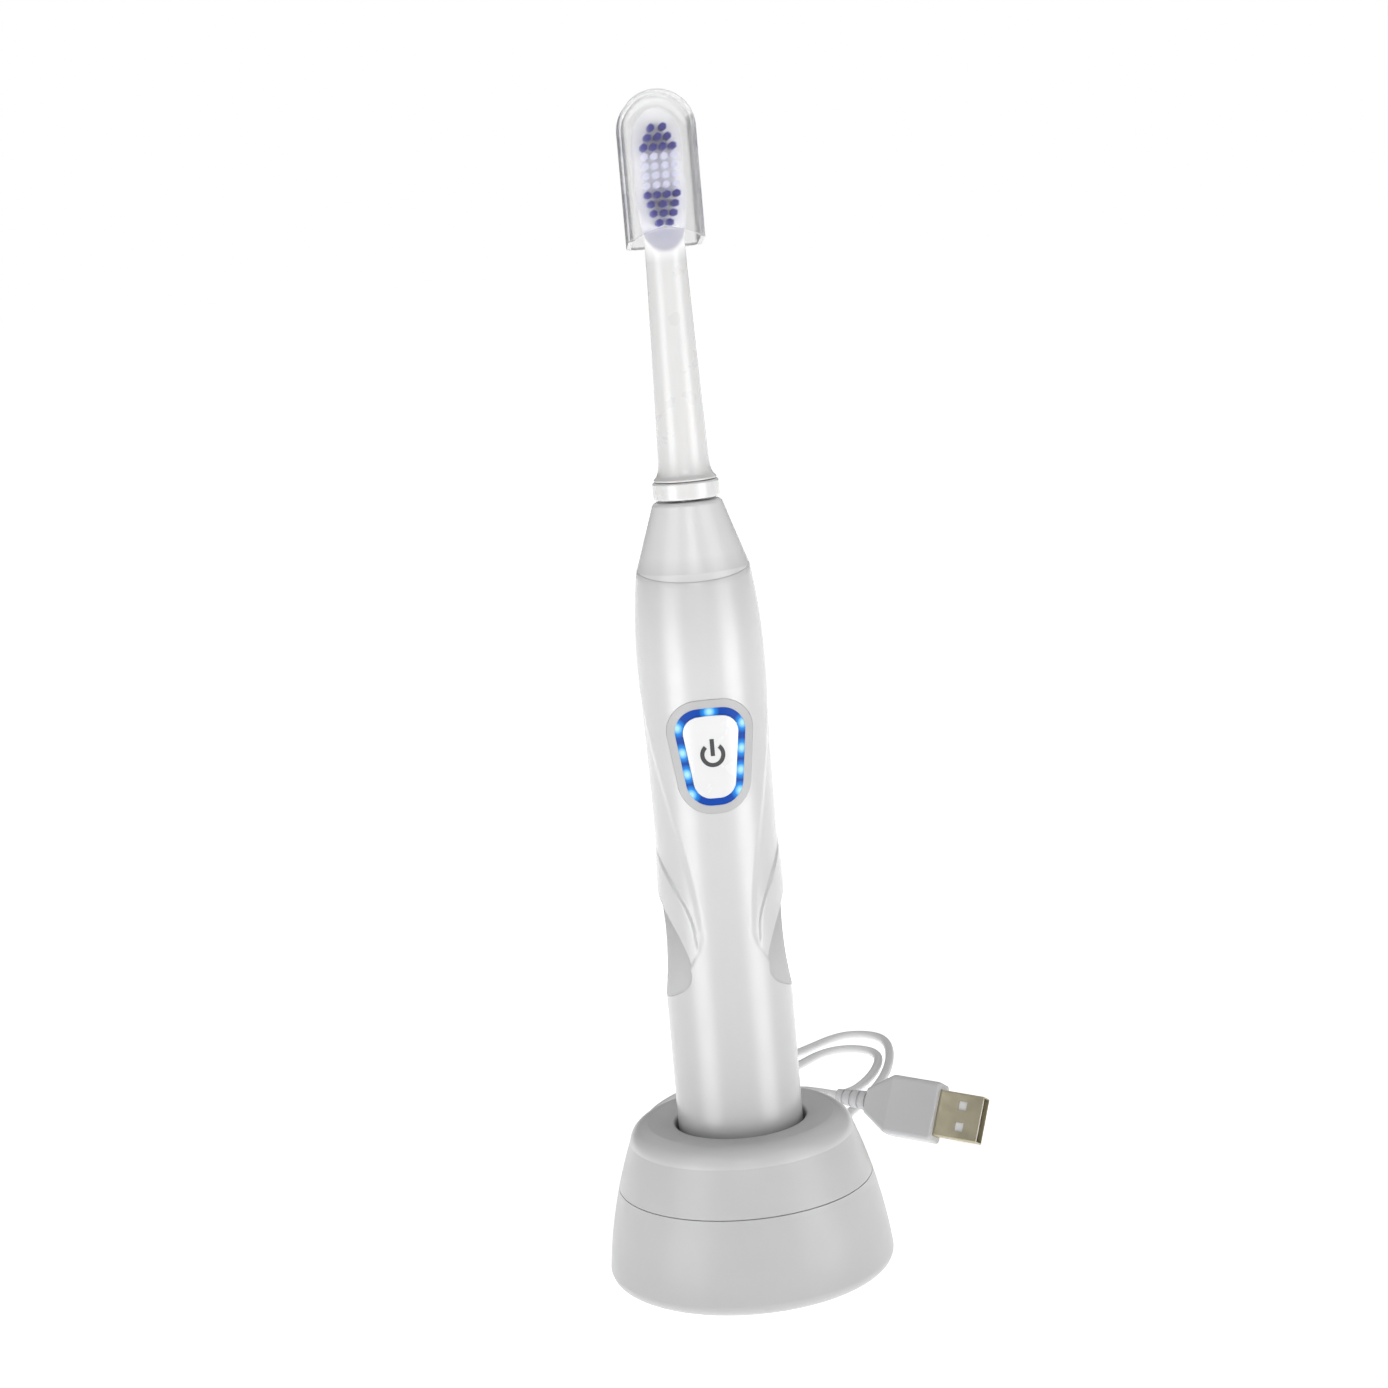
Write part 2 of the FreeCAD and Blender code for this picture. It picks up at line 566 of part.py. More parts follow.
def tact_switch():
    front = BOARD_FRONT_Y - 0.05
    body = block(-3, 3, front - 1.3, front, BUTTON_Z - 3, BUTTON_Z + 3)
    key = Part.makeCylinder(1.4, 0.4, V(0, front - 1.2, BUTTON_Z), V(0, -1, 0))
    return body.fuse(key)


def light_places():
    """Nine lamps behind the light ring: one at the top, four down each side."""
    middle = FRAME_MARGIN + LIGHT_WIDTH / 2
    half_top = FRAME_TOP_WIDTH / 2 - middle
    places = [(0.0, BUTTON_Z + FRAME_HEIGHT / 2 - middle)]
    for drop in (3.4, 9.0, 13.8, 18.4):
        z = BUTTON_Z + FRAME_HEIGHT / 2 - middle - drop
        x = min(half_top - FRAME_TAPER * drop - 0.4, LAMP_REACH)
        places += [(x, z), (-x, z)]
    return places


def leds():
    front = BOARD_FRONT_Y - 0.05
    lamps = [block(x - 0.6, x + 0.6, front - LAMP_DEPTH, front, z - 0.8, z + 0.8)
             for x, z in light_places()]
    return Part.makeCompound(lamps)


def front_band(inner, outer):
    """Part of a tube's wall round the front of the handle, behind the button."""
    return tube(outer, inner, BUTTON_Z - 20, BUTTON_Z + 20).common(
        block(-16, 16, -16, -4, BUTTON_Z - 20, BUTTON_Z + 20))


def button_bezel():
    frame = button_outline(0, -16, -4).cut(button_outline(FRAME_MARGIN, -17, -3))
    return frame.common(front_band(12.0, HANDLE_RADIUS + 0.12))


def light_ring():
    inner = FRAME_MARGIN + LIGHT_WIDTH
    ring = button_outline(FRAME_MARGIN + 0.05, -16, -4).cut(button_outline(inner, -17, -3))
    return ring.common(front_band(12.0, HANDLE_RADIUS + 0.2))


# ---------------------------------------------------------------- button
def power_button():
    """Key with a crowned face and a plunger behind it that reaches towards the switch."""
    inset = FRAME_MARGIN + LIGHT_WIDTH + BUTTON_GAP
    key = button_outline(inset, -16, -4).common(front_band(12.9, HANDLE_RADIUS + 0.5))
    plunger_tip = BOARD_FRONT_Y - 0.05 - 1.6 - BUTTON_TRAVEL - 0.1
    plunger_root = -13.2
    plunger = Part.makeCylinder(1.5, plunger_tip - plunger_root, V(0, plunger_root, BUTTON_Z), V(0, 1, 0))
    return key.fuse(plunger)


# ---------------------------------------------------------------- oscillating shaft
def drive_shaft():
    shaft = turned([(0, SHAFT_FOOT_Z), (SHAFT_RADIUS, SHAFT_FOOT_Z), (SHAFT_RADIUS, SHAFT_TOP_Z - 0.6),
                    (SHAFT_RADIUS - 0.6, SHAFT_TOP_Z), (0, SHAFT_TOP_Z)])
    return shaft.cut(block(-3, 3, -4, -1.3, 190, SHAFT_TOP_Z + 1))


def rotor_magnet():
    return tube(MAGNET_RADIUS, SHAFT_RADIUS + 0.03, MAGNET_Z0, MAGNET_Z1)


# ---------------------------------------------------------------- brush head
def tuft_places(rows):
    places = []
    for row in rows:
        count, width = TUFT_ROWS[row]
        z = TUFT_TOP_Z - row * TUFT_PITCH_Z
        places += [(width * (i / (count - 1) - 0.5), z) for i in range(count)]
    return places


def tuft_rods(rows, radius, back_y):
    return [Part.makeCylinder(radius, back_y - TUFT_TIP_Y, V(x, TUFT_TIP_Y, z), V(0, 1, 0))
            for x, z in tuft_places(rows)]


def head_plate():
    """Tongue-shaped plate: narrow foot, straight sides and a half-ellipse top."""
    half, crown, top = HEAD_HALF_WIDTH, HEAD_CROWN_Z, HEAD_TOP_Z
    depth = HEAD_BACK_Y - HEAD_FRONT_Y
    ellipse = Part.Ellipse(V(0, HEAD_FRONT_Y, crown), top - crown, half)
    ellipse.Axis = V(0, -1, 0)
    ellipse.XAxis = V(0, 0, 1)
    arch = Part.ArcOfEllipse(ellipse, -math.pi / 2, math.pi / 2).toShape()
    ends = [vertex.Point for vertex in arch.Vertexes]
    right = max(ends, key=lambda p: p.x)
    left = min(ends, key=lambda p: p.x)
    corners = [V(-4.2, HEAD_FRONT_Y, 236), V(4.2, HEAD_FRONT_Y, 236)]
    sides = [V(-half, HEAD_FRONT_Y, 246), V(half, HEAD_FRONT_Y, 246)]
    edges = [arch, Part.LineSegment(right, sides[1]).toShape(),
             Part.Arc(sides[1], V(4.95, HEAD_FRONT_Y, 240.8), corners[1]).toShape(),
             Part.LineSegment(corners[1], corners[0]).toShape(),
             Part.Arc(corners[0], V(-4.95, HEAD_FRONT_Y, 240.8), sides[0]).toShape(),
             Part.LineSegment(sides[0], left).toShape()]
    return Part.Face(Part.Wire(Part.__sortEdges__(edges))).extrude(V(0, depth, 0))


def brush_neck():
    """Collar, tapering neck and head plate in one moulding, with blind holes for the tufts."""
    neck = turned([
        (0, 180.2), (5.2, 180.2), (5.2, 184.05), (6.9, 184.05), ((7.05, 184.3), (6.9, 184.6)),
        ((6.1, 185.6), (5.8, 187.4)), (NECK_FOOT_RADIUS, 188.4), (NECK_TOP_RADIUS, NECK_TOP_Z),
        ((3.2, NECK_TOP_Z + 2.4), (0, NECK_TOP_Z + 3.4))])
    scoop = side_prism([(-8, 233.4), (-4.4, 233.4), ((-2.6, 236.4), (HEAD_FRONT_Y, 239.0)),
                        (HEAD_FRONT_Y, 246), (-8, 246)], -8, 8)
    head = neck.cut(scoop).fuse(head_plate())
    holes = tuft_rods(range(len(TUFT_ROWS)), TUFT_RADIUS + 0.05, HEAD_FRONT_Y + TUFT_DEPTH)
    return head.cut(tube(3.45, 0, 180, SOCKET_TOP_Z + 0.5)).cut(holes)


def id_ring():
    return turned([
        (5.25, RING_Z0), (RING_RADIUS - 0.5, RING_Z0),
        ((RING_RADIUS - 0.15, RING_Z0 + 0.15), (RING_RADIUS, RING_Z0 + 0.5)),
        (RING_RADIUS, RING_Z1 - 0.5),
        ((RING_RADIUS - 0.15, RING_Z1 - 0.15), (RING_RADIUS - 0.5, RING_Z1)), (5.25, RING_Z1)])


def shaft_socket():
    """Sleeve in the neck that grips the shaft's tip."""
    return turned([(SHAFT_RADIUS + 0.15, 180.4), (3.4, 180.4), (3.4, SOCKET_TOP_Z), (0, SOCKET_TOP_Z),
                   (0, SHAFT_TOP_Z + 0.3), (SHAFT_RADIUS + 0.15, SHAFT_TOP_Z + 0.3)])


def tufts(rows):
    return Part.makeCompound(tuft_rods(rows, TUFT_RADIUS, HEAD_FRONT_Y + TUFT_DEPTH - 0.1))


# ---------------------------------------------------------------- travel cap
def cap_body(shrink, foot_z):
    """Rounded tunnel with a half-round top; shrink makes the space inside it."""
    half = TRAVEL_CAP_HALF_WIDTH - shrink
    crown = OVERALL_TOP_Z - TRAVEL_CAP_HALF_WIDTH
    front, back = TRAVEL_CAP_FRONT_Y + shrink, TRAVEL_CAP_BACK_Y - shrink
    body = front_prism([(-half, foot_z), (half, foot_z), (half, crown), ((0, crown + half), (-half, crown))],
                       front, back)
    rims = []
    for edge in body.Edges:
        points = [vertex.Point for vertex in edge.Vertexes]
        on_front = all(abs(point.y - front) < 0.01 for point in points)
        on_back = all(abs(point.y - back) < 0.01 for point in points)
        on_foot = all(abs(point.z - foot_z) < 0.01 for point in points)
        if (on_front or on_back) and not on_foot:
            rims.append(edge)
    return body.makeFillet(TRAVEL_CAP_EDGE - shrink, rims)


def travel_cap():
    """Clear shell over the head. Its foot slopes up to the front and is arched in the front wall."""
    cap = cap_body(0, TRAVEL_CAP_FOOT_Z - 6).cut(cap_body(TRAVEL_CAP_WALL, TRAVEL_CAP_FOOT_Z - 8))
    rise = 2.0
    slope = side_prism([
        (-20, 220), (20, 220), (20, TRAVEL_CAP_FOOT_Z - 1.6), (TRAVEL_CAP_BACK_Y, TRAVEL_CAP_FOOT_Z),
        (TRAVEL_CAP_FRONT_Y, TRAVEL_CAP_FOOT_Z + rise), (-20, TRAVEL_CAP_FOOT_Z + rise + 0.8)], -10, 10)
    arch = front_prism([(-7.2, 225), (7.2, 225), (7.2, TRAVEL_CAP_FOOT_Z + rise),
                        ((0, TRAVEL_CAP_FOOT_Z + rise + 2.2), (-7.2, TRAVEL_CAP_FOOT_Z + rise))], -16, -8)
    return cap.cut([slope, arch])


# ---------------------------------------------------------------- all pieces
ALL_ROWS = range(len(TUFT_ROWS))
PIECES = {
    "base_shell": base_shell, "base_cover": base_cover, "base_screws": base_screws, "foot_ring": foot_ring,
    "charger_pcb": charger_pcb, "ferrite_core": ferrite_core, "primary_coil": primary_coil,
    "strain_relief": strain_relief, "power_cord": power_cord, "usb_overmould": usb_overmould,
    "usb_shell": usb_shell, "usb_tongue": usb_tongue, "usb_contacts": usb_contacts,
    "handle_shell": handle_shell, "grip_pad_right": lambda: grip_pad(1),
    "grip_pad_left": lambda: grip_pad(-1), "nose_cone": nose_cone, "bottom_cap": bottom_cap,
    "bottom_seal": bottom_seal, "secondary_coil": secondary_coil, "chassis": chassis, "battery": battery,
    "battery_contacts": battery_contacts, "motor_case": motor_case,
    "lower_bearing": lambda: bearing(MOTOR_Z0 + 1.6), "upper_bearing": lambda: bearing(MOTOR_Z1 - 4.4),
    "stator_coil": stator_coil, "shaft_seal": shaft_seal, "handle_pcb": handle_pcb,
    "tact_switch": tact_switch, "leds": leds, "button_bezel": button_bezel, "light_ring": light_ring,
    "power_button": power_button, "drive_shaft": drive_shaft, "rotor_magnet": rotor_magnet,
    "brush_neck": brush_neck, "id_ring": id_ring, "shaft_socket": shaft_socket,
    "tufts_blue": lambda: tufts([row for row in ALL_ROWS if row not in WHITE_ROWS]),
    "tufts_white": lambda: tufts(WHITE_ROWS), "travel_cap": travel_cap,
}

os.makedirs("parts", exist_ok=True)
for name, make in PIECES.items():
    shape = make()
    facts = (name, len(shape.Solids), shape.isValid(), shape.Volume)
    print("%-16s solids %2d  valid %s  volume %9.1f mm3" % facts)
    shape.exportStep("parts/%s.step" % name)
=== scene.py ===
"""Looks of the electric toothbrush in its charging base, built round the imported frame."""
import functools
import json
import math
import random

import bmesh
import bpy
import numpy as np
from mathutils import Matrix, Vector


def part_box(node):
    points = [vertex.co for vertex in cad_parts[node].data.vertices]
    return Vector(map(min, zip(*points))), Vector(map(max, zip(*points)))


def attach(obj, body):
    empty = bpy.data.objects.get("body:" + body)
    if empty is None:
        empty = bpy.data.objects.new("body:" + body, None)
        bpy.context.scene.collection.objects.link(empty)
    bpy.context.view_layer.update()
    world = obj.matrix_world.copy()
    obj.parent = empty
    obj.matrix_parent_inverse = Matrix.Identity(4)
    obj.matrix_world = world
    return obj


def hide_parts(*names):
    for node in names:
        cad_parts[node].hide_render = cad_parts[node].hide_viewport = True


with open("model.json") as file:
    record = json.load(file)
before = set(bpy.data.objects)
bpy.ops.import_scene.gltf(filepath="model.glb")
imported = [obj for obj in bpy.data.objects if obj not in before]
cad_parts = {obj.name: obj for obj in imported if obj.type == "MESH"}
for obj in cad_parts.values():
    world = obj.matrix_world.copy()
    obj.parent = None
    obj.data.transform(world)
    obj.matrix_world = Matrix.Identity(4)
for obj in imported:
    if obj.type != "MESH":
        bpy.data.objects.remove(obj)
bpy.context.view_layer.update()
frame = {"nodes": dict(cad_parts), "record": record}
NODES = frame["nodes"]
SCENE = bpy.context.scene
MM = 0.001

# ---------------------------------------------------------------- sizes, in millimetres
HANDLE_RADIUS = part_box("bottom_cap")[1].x / MM
HANDLE_BORE = 11.8
SKIN_FOOT_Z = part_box("handle_shell")[0].z / MM
SHOULDER_Z, SHOULDER_TOP_Z, SHOULDER_ARC = 143.0, 164.3, 137.5
CONE_TOP_RADIUS, CONE_TOP_Z = 7.95, 178.6
SEAM_Z, SEAM_SLOPE, SEAM_GAP = 165.0, math.tan(math.radians(10.5)), 0.05
SKIN_TOP_Z, SLANT_FROM_Z = SEAM_Z - SEAM_GAP, 150.0
MOUTH_BORE, MOUTH_FOOT_Z, BORE_TOP_Z = 10.7, 158.2, 157.0
PALE_PAINTED_NOSE_Z = 162.0                              # the housing is painted paler from here up: painted light on the same plastic

# Rings of the housing's skin: tube, leaves and shoulder as (from, to, step), with closer rings at both
# ends, where the radius is cut to round the edge.
SKIN_COLUMNS, SKIN_SHARP = 288, 30.0
SKIN_RINGS = ((29.0, 67.0, 2.0), (67.0, 144.0, 0.36), (144.0, SKIN_TOP_Z - 0.6, 1.2))
SKIN_FOOT_RINGS, SKIN_TOP_RINGS = (0, 0.1, 0.3), (-0.35, -0.18, 0)
END_CUTS = {0: 0.3, 1: 0.12, -2: 0.06, -1: 0.22}

# Leaves on each side of the grip, as (y, z) arcs, and the (radius, z) arcs of their surfaces.
LEAF_1 = [((0, 143), (8.6, 119.4), (13.5, 85)), ((13.5, 85), (11.6, 76), (0, 70))]
LEAF_2 = [((0, 102.5), (8.5, 95.3), (12.5, 82)), ((12.5, 82), (10.8, 74.5), (0, 70))]
LEAF_3 = [((0, 91.5), (8.0, 85.2), (11.3, 75)), ((11.3, 75), (10.6, 71), (8.0, 69)),
          ((8.0, 69), (4.2, 67.6), (0, 67.2))]
LEAF_1_SURFACE = ((14.45, 144), (13.84, 101), (14.35, 69))
LEAF_2_SURFACE = ((13.75, 104), (14.33, 94.5), (13.7, 69))
LEAF_3_SURFACE = ((13.9, 92), (13.3, 84), (14.45, 67))
LEAF_1_SOFTNESS, LEAF_2_SOFTNESS = 2.4, 0.6     # how far each edge takes to reach its full depth
PAD_THICKNESS = 0.9
PAD_SHADE_HEIGHTS = (69.0, 90.0)                       # painted shade darkens the pads towards their tops between these
PAD_MIDDLE_Z, PAD_SPACE_REACH = 77.0, 18.0

WINDOW_GROWTH, WINDOW_REACH = 1.004, (-16.0, -4.0)
BUTTON_TOP_RADIUS = -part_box("power_button")[0].y / MM
ICON_Z = 124.3
ICON_RADIUS, ICON_STROKE, ICON_DEPTH = 2.32, 0.95, 0.03
ICON_HALF_GAP = math.radians(40)
ICON_BAR = (-0.3, 3.5)                           # ends of the bar, above the ring's middle

NECK_FOOT = (188.4, 5.7)                         # height and radius
NECK_TOP = (240.0, 4.3)
HEAD_HALF_WIDTH, HEAD_BACK, HEAD_FACE_Y = 5.55, 4.0, -0.5
HEAD_WIDENS_Z = (234.0, 247.0)                   # from round neck to full head
FACE_FOOT_Z, FACE_RUNOUT, FACE_RUNOUT_DEPTH = 239.4, 5.4, 4.3
FACE_EDGE = 0.22                                 # softness of the edge round the flat face
HEAD_CROWN_Z = 257.0
WHITE_PAINTED_HEAD_Z = 232.0                              # the neck is painted whiter from here up: painted light on the same plastic
HEAD_TOP_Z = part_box("brush_neck")[1].z / MM
COLLAR_FOOT_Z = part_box("brush_neck")[0].z / MM
BRUSH_BORE, BRUSH_BORE_TOP_Z, COLLAR_RADIUS = 3.45, 206.5, 5.2
BRUSH_COLUMNS, BRUSH_SHARP = 96, 32.0
BRUSH_RINGS = ((192.0, 230.0, 4.0), (230.0, 248.0, 0.5), (248.0, HEAD_CROWN_Z, 1.5))
CROWN_ANGLES = (0, 12, 24, 36, 46, 55, 63, 70, 76, 81, 85, 88)

# Lip over the collar and flare into the neck, as (radius, z).
LIP = ((6.9, 184.05), (7.02, 184.15), (7.05, 184.3), (7.0, 184.47), (6.9, 184.6))
FLARE = ((6.5, 185.0), (6.2, 185.5), (6.0, 186.1), (5.87, 186.8), (5.78, 187.6))

CAP_FRONT_Y, CAP_BACK_Y = (corner.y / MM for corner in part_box("travel_cap"))
CAP_FOOT_FRONT_Z, CAP_FOOT_BACK_Z = 237.0, 235.0
CAP_ARCH, CAP_ARCH_REACH = 2.4, 7.2              # rise of the front edge's arch, and half its width

TUFT_ROWS = ((2, 2.5), (3, 4.4), (4, 6.3), (4, 6.4), (4, 6.4), (4, 6.4), (4, 6.4), (4, 6.3),
             (3, 5.2), (3, 4.3), (2, 2.3))       # tufts in each row and the row's width, from the top
TUFT_TOP_Z, TUFT_PITCH_Z = 260.7, 2.03
TUFT_TIP_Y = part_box("tufts_blue")[0].y / MM
TUFT_RADIUS = 0.83
WHITE_ROWS = (3, 4, 5, 6)
TUFT_TILT, TUFT_SPREAD = 0.06, 0.07
FILAMENT_RADIUS, FILAMENT_PITCH = 0.1, 0.25
FILAMENT_STRAY, FILAMENT_SHORTFALL = 0.02, 0.22

LAMP_TOP_Z = 133.9
LAMP_DROPS = (3.4, 9.0, 13.8, 18.4)
LAMP_HALF_TOP, LAMP_TAPER, LAMP_REACH = 7.7, 0.1228, 7.6
LAMP_GLOW_RADIUS = 0.0023                        # in metres

# The cord, in metres: where it leaves, points chosen along its two turns on the floor, and its rise
# into the plug.
CORD_EXIT = (0.0, 0.046, 0.0065)
CORD_LENGTH, CORD_DIAMETER = 0.501, 0.0026
CORD_LOW = CORD_DIAMETER / 2
CORD_FLOOR_POINTS = [
    (-0.011, 0.070), (-0.020, 0.084), (-0.022, 0.103), (-0.015, 0.123), (-0.001, 0.138), (0.016, 0.148),
    (0.030, 0.1605), (0.040, 0.1705), (0.0478, 0.1703), (0.053, 0.1646), (0.0536, 0.1525), (0.0505, 0.134),
    (0.0435, 0.1145), (0.0345, 0.098), (0.0255, 0.082), (0.017, 0.068), (0.005, 0.061), (-0.006, 0.069),
    (-0.010, 0.086), (-0.007, 0.105), (0.003, 0.121), (0.015, 0.133), (0.0255, 0.145), (0.0336, 0.1556),
    (0.0416, 0.1576), (0.0482, 0.153), (0.0496, 0.1442), (0.0444, 0.127), (0.0363, 0.1142)]
CORD_RISE = [(0.0262, 0.1078, 0.0044), (0.0210, 0.1004, 0.0082), (0.02319, 0.09063, 0.0116),
             (0.03104, 0.08572, 0.01078)]

# The studio, in metres, watts and degrees.
CAMERA_PLACE = (-0.0336, -0.5991, 0.234)
CAMERA_TURN, CAMERA_TILT, CAMERA_ROLL = 3.0, 9.3, 5.0
CAMERA_LENS, CAMERA_SENSOR = 70.03, 36           # in millimetres
SOFTBOXES = (                                    # name, place, width, height, power
    ("left_softbox", (-0.34, -0.27, 0.31), 0.26, 0.62, 0.62),
    ("right_softbox", (0.36, -0.25, 0.31), 0.26, 0.62, 0.62),
    ("front_softbox", (0.0, -0.75, 0.55), 0.26, 0.3, 0.7),
    ("top_softbox", (0.0, 0.1, 0.9), 0.6, 0.6, 0.7),
    ("back_softbox", (0.1, 0.5, 0.55), 0.9, 0.6, 0.9))
SOFTBOX_AIM = (0, 0, 0.13)
ROOM_LIGHT = 0.16                                # the room's white as the object sees it

# The floor's own glow grows with distance, and two sectors of it are brighter once clear of the base.
FLOOR_SIDES, FLOOR_RADII = 64, (0.5, 60.0)
FLOOR_GLOW, FLOOR_GLOW_REACH = (0.68, 0.95), (0.05, 0.45)
SECTOR_GLOW, SECTOR_REACH = 3.2, (0.08, 0.16)
SECTOR_ACROSS, SECTOR_FORWARD, SECTOR_EDGE = 0.79, -0.61, (0.93, 0.99)


# ---------------------------------------------------------------- materials
class Paint:
    """A Principled material whose colour, roughness and relief come from textures in object space."""

    def __init__(self, name, colour, roughness, **sockets):
        self.material = bpy.data.materials.new(name)
        self.material.use_nodes = True
        self.nodes = self.material.node_tree.nodes
        self.links = self.material.node_tree.links
        self.shader = self.nodes["Principled BSDF"]
        self.place = self.nodes.new("ShaderNodeTexCoord").outputs["Object"]
        self.colour = colour
        self.shader.inputs["Base Color"].default_value = (*colour, 1)
        self.shader.inputs["Roughness"].default_value = roughness
        for socket, value in sockets.items():
            self.shader.inputs[socket.replace("_", " ")].default_value = value

    def maths(self, operation, *sources):
        """Arithmetic on the outputs of other nodes."""
        node = self.nodes.new("ShaderNodeMath")
        node.operation = operation
        for source, socket in zip(sources, node.inputs):
            self.links.new(source, socket)
        return node.outputs[0]

    def vector(self, operation, source, other=(0, 0, 0)):
        """Vector arithmetic on another node's output and a fixed vector."""
        node = self.nodes.new("ShaderNodeVectorMath")
        node.operation = operation
        node.inputs[1].default_value = other
        self.links.new(source, node.inputs[0])
        return node.outputs["Vector" if operation in ("MULTIPLY", "NORMALIZE") else "Value"]

    def scaled(self, size, stretch=(1, 1, 1)):
        """Object coordinates in units of size, drawn out along an axis by stretch."""
        return self.vector("MULTIPLY", self.place, [1 / (size * s) for s in stretch])

    def noise(self, size, detail, stretch=(1, 1, 1)):
        """Soft clouds, each about as large as size in metres."""
        node = self.nodes.new("ShaderNodeTexNoise")
        node.inputs["Scale"].default_value = 1.0
        node.inputs["Detail"].default_value = detail
        self.links.new(self.scaled(size, stretch), node.inputs["Vector"])
        return node.outputs["Fac"]

    def height(self):
        """Height above the floor, in metres."""
        return self.across("Z")

    def across(self, axis):
        """One of the object coordinates, in metres."""
        split = self.nodes.new("ShaderNodeSeparateXYZ")
        self.links.new(self.place, split.inputs[0])
        return split.outputs[axis]

    def bands(self, size, axis, distortion):
        """Light and dark bands, one of each in every size."""
        node = self.nodes.new("ShaderNodeTexWave")
        node.wave_type = "BANDS"
        node.bands_direction = axis
        node.inputs["Scale"].default_value = math.pi / 10
        node.inputs["Distortion"].default_value = distortion
        self.links.new(self.scaled(size), node.inputs["Vector"])
        return node.outputs["Fac"]

    def cells(self, size, feature="F1", stretch=(1, 1, 1)):
        """Distance to the middle or the edge of the nearest cell of the given size."""
        node = self.nodes.new("ShaderNodeTexVoronoi")
        node.feature = feature
        node.inputs["Scale"].default_value = 1.0
        self.links.new(self.scaled(size, stretch), node.inputs["Vector"])
        return node.outputs["Distance"]

    def between(self, factor, low, high, from_low=0.0, from_high=1.0):
        """A number from low to high as factor goes from from_low to from_high."""
        node = self.nodes.new("ShaderNodeMapRange")
        for socket, value in zip(node.inputs[1:5], (from_low, from_high, low, high)):
            socket.default_value = value
        self.links.new(factor, node.inputs[0])
        return node.outputs[0]

    def mixed(self, factor, first, second):
        """A colour between first and second, each a colour or another node's output."""
        node = self.nodes.new("ShaderNodeMix")
        node.data_type = "RGBA"
        self.links.new(factor, node.inputs[0])
        for socket, colour in ((node.inputs[6], first), (node.inputs[7], second)):
            if isinstance(colour, tuple):
                socket.default_value = (*colour, 1)
            else:
                self.links.new(colour, socket)
        return node.outputs[2]

    def tinted(self, factor, change):
        """Base colour that brightens and darkens by the share change."""
        dark = tuple(c * (1 - change) for c in self.colour)
        light = tuple(min(1.0, c * (1 + change)) for c in self.colour)
        self.links.new(self.mixed(factor, dark, light), self.shader.inputs["Base Color"])

    def coloured(self, colour):
        self.links.new(colour, self.shader.inputs["Base Color"])

    def roughened(self, factor, low, high):
        self.links.new(self.between(factor, low, high, 0.3, 0.7), self.shader.inputs["Roughness"])

    def embossed(self, height, depth, under=None):
        """Relief of the given depth in metres; under is another relief that it lies on."""
        node = self.nodes.new("ShaderNodeBump")
        node.inputs["Distance"].default_value = depth
        self.links.new(height, node.inputs["Height"])
        if under is not None:
            self.links.new(under, node.inputs["Normal"])
        self.links.new(node.outputs[0], self.shader.inputs["Normal"])
        return node.outputs[0]


def polished(name, colour, roughness, **sockets):
    """Coated surface with a very slight orange peel and cloudy handling marks."""
    paint = Paint(name, colour, roughness, Coat_Weight=1.0, Coat_Roughness=0.26, **sockets)
    paint.roughened(paint.noise(0.006, 5), roughness - 0.05, roughness + 0.07)
    paint.embossed(paint.noise(0.0012, 2), 0.000004)
    return paint


def gloss_plastic(name, colour, roughness):
    """Polished moulding with faint mottling."""
    paint = polished(name, colour, roughness)
    paint.tinted(paint.noise(0.009, 4), 0.02)
    return paint


def painted_paler_above(paint, high, foot_z, rise):
    """Faint mottling that fades to the colour high over the rise above foot_z, both in millimetres:
    painted light, a paler upper stretch of the same plastic.
    """
    up = paint.between(paint.height(), 0, 1, foot_z * MM, (foot_z + rise) * MM)
    mottle = paint.mixed(paint.noise(0.009, 4), paint.colour, tuple(c * 1.04 for c in paint.colour))
    paint.coloured(paint.mixed(up, mottle, high))
    return paint


def housing_plastic(name, body, nose_painted_paler):
    """Polished ABS, with the nose painted paler than the body: painted light on the same plastic."""
    return painted_paler_above(polished(name, body, 0.34), nose_painted_paler, PALE_PAINTED_NOSE_Z, 6)


def brush_plastic(name, neck, head_painted_whiter):
    """Polished polypropylene with a little subsurface light, the head painted whiter than the neck:
    painted light on the same plastic.
    """
    paint = polished(name, neck, 0.30, Subsurface_Weight=0.06, Subsurface_Scale=0.001)
    return painted_paler_above(paint, head_painted_whiter, WHITE_PAINTED_HEAD_Z, 4)


def satin_plastic(name, colour, roughness=0.45, grain=0.000012, **sockets):
    """Spark-eroded mould texture: fine pits under a soft sheen."""
    paint = Paint(name, colour, roughness, **sockets)
    paint.tinted(paint.noise(0.012, 4), 0.025)
    paint.roughened(paint.noise(0.004, 5), roughness - 0.06, roughness + 0.08)
    waves = paint.embossed(paint.noise(0.003, 2), grain * 0.6)
    paint.embossed(paint.noise(0.00022, 3), grain, waves)
    return paint


def soft_touch(name, colour, roughness=0.62, foot=None):
    """Soft overmoulded rubber with a powdery sheen, fading to the colour foot lower down if it has one:
    painted shade, darker at the top of the pad's hollow.
    """
    paint = Paint(name, colour, roughness, Sheen_Weight=0.15, Sheen_Roughness=0.5)
    mottle = paint.mixed(paint.noise(0.005, 4), colour, tuple(c * 1.08 for c in colour))
    if foot is None:
        paint.coloured(mottle)
    else:
        # painted shade: darker towards the top of the pad, paler at its foot
        low_z, high_z = PAD_SHADE_HEIGHTS
        height = paint.between(paint.height(), 0, 1, low_z * MM, high_z * MM)
        paint.coloured(paint.mixed(height, foot, mottle))
    paint.roughened(paint.noise(0.002, 4), roughness - 0.06, roughness + 0.08)
    paint.embossed(paint.noise(0.00018, 3), 0.000015)
    return paint


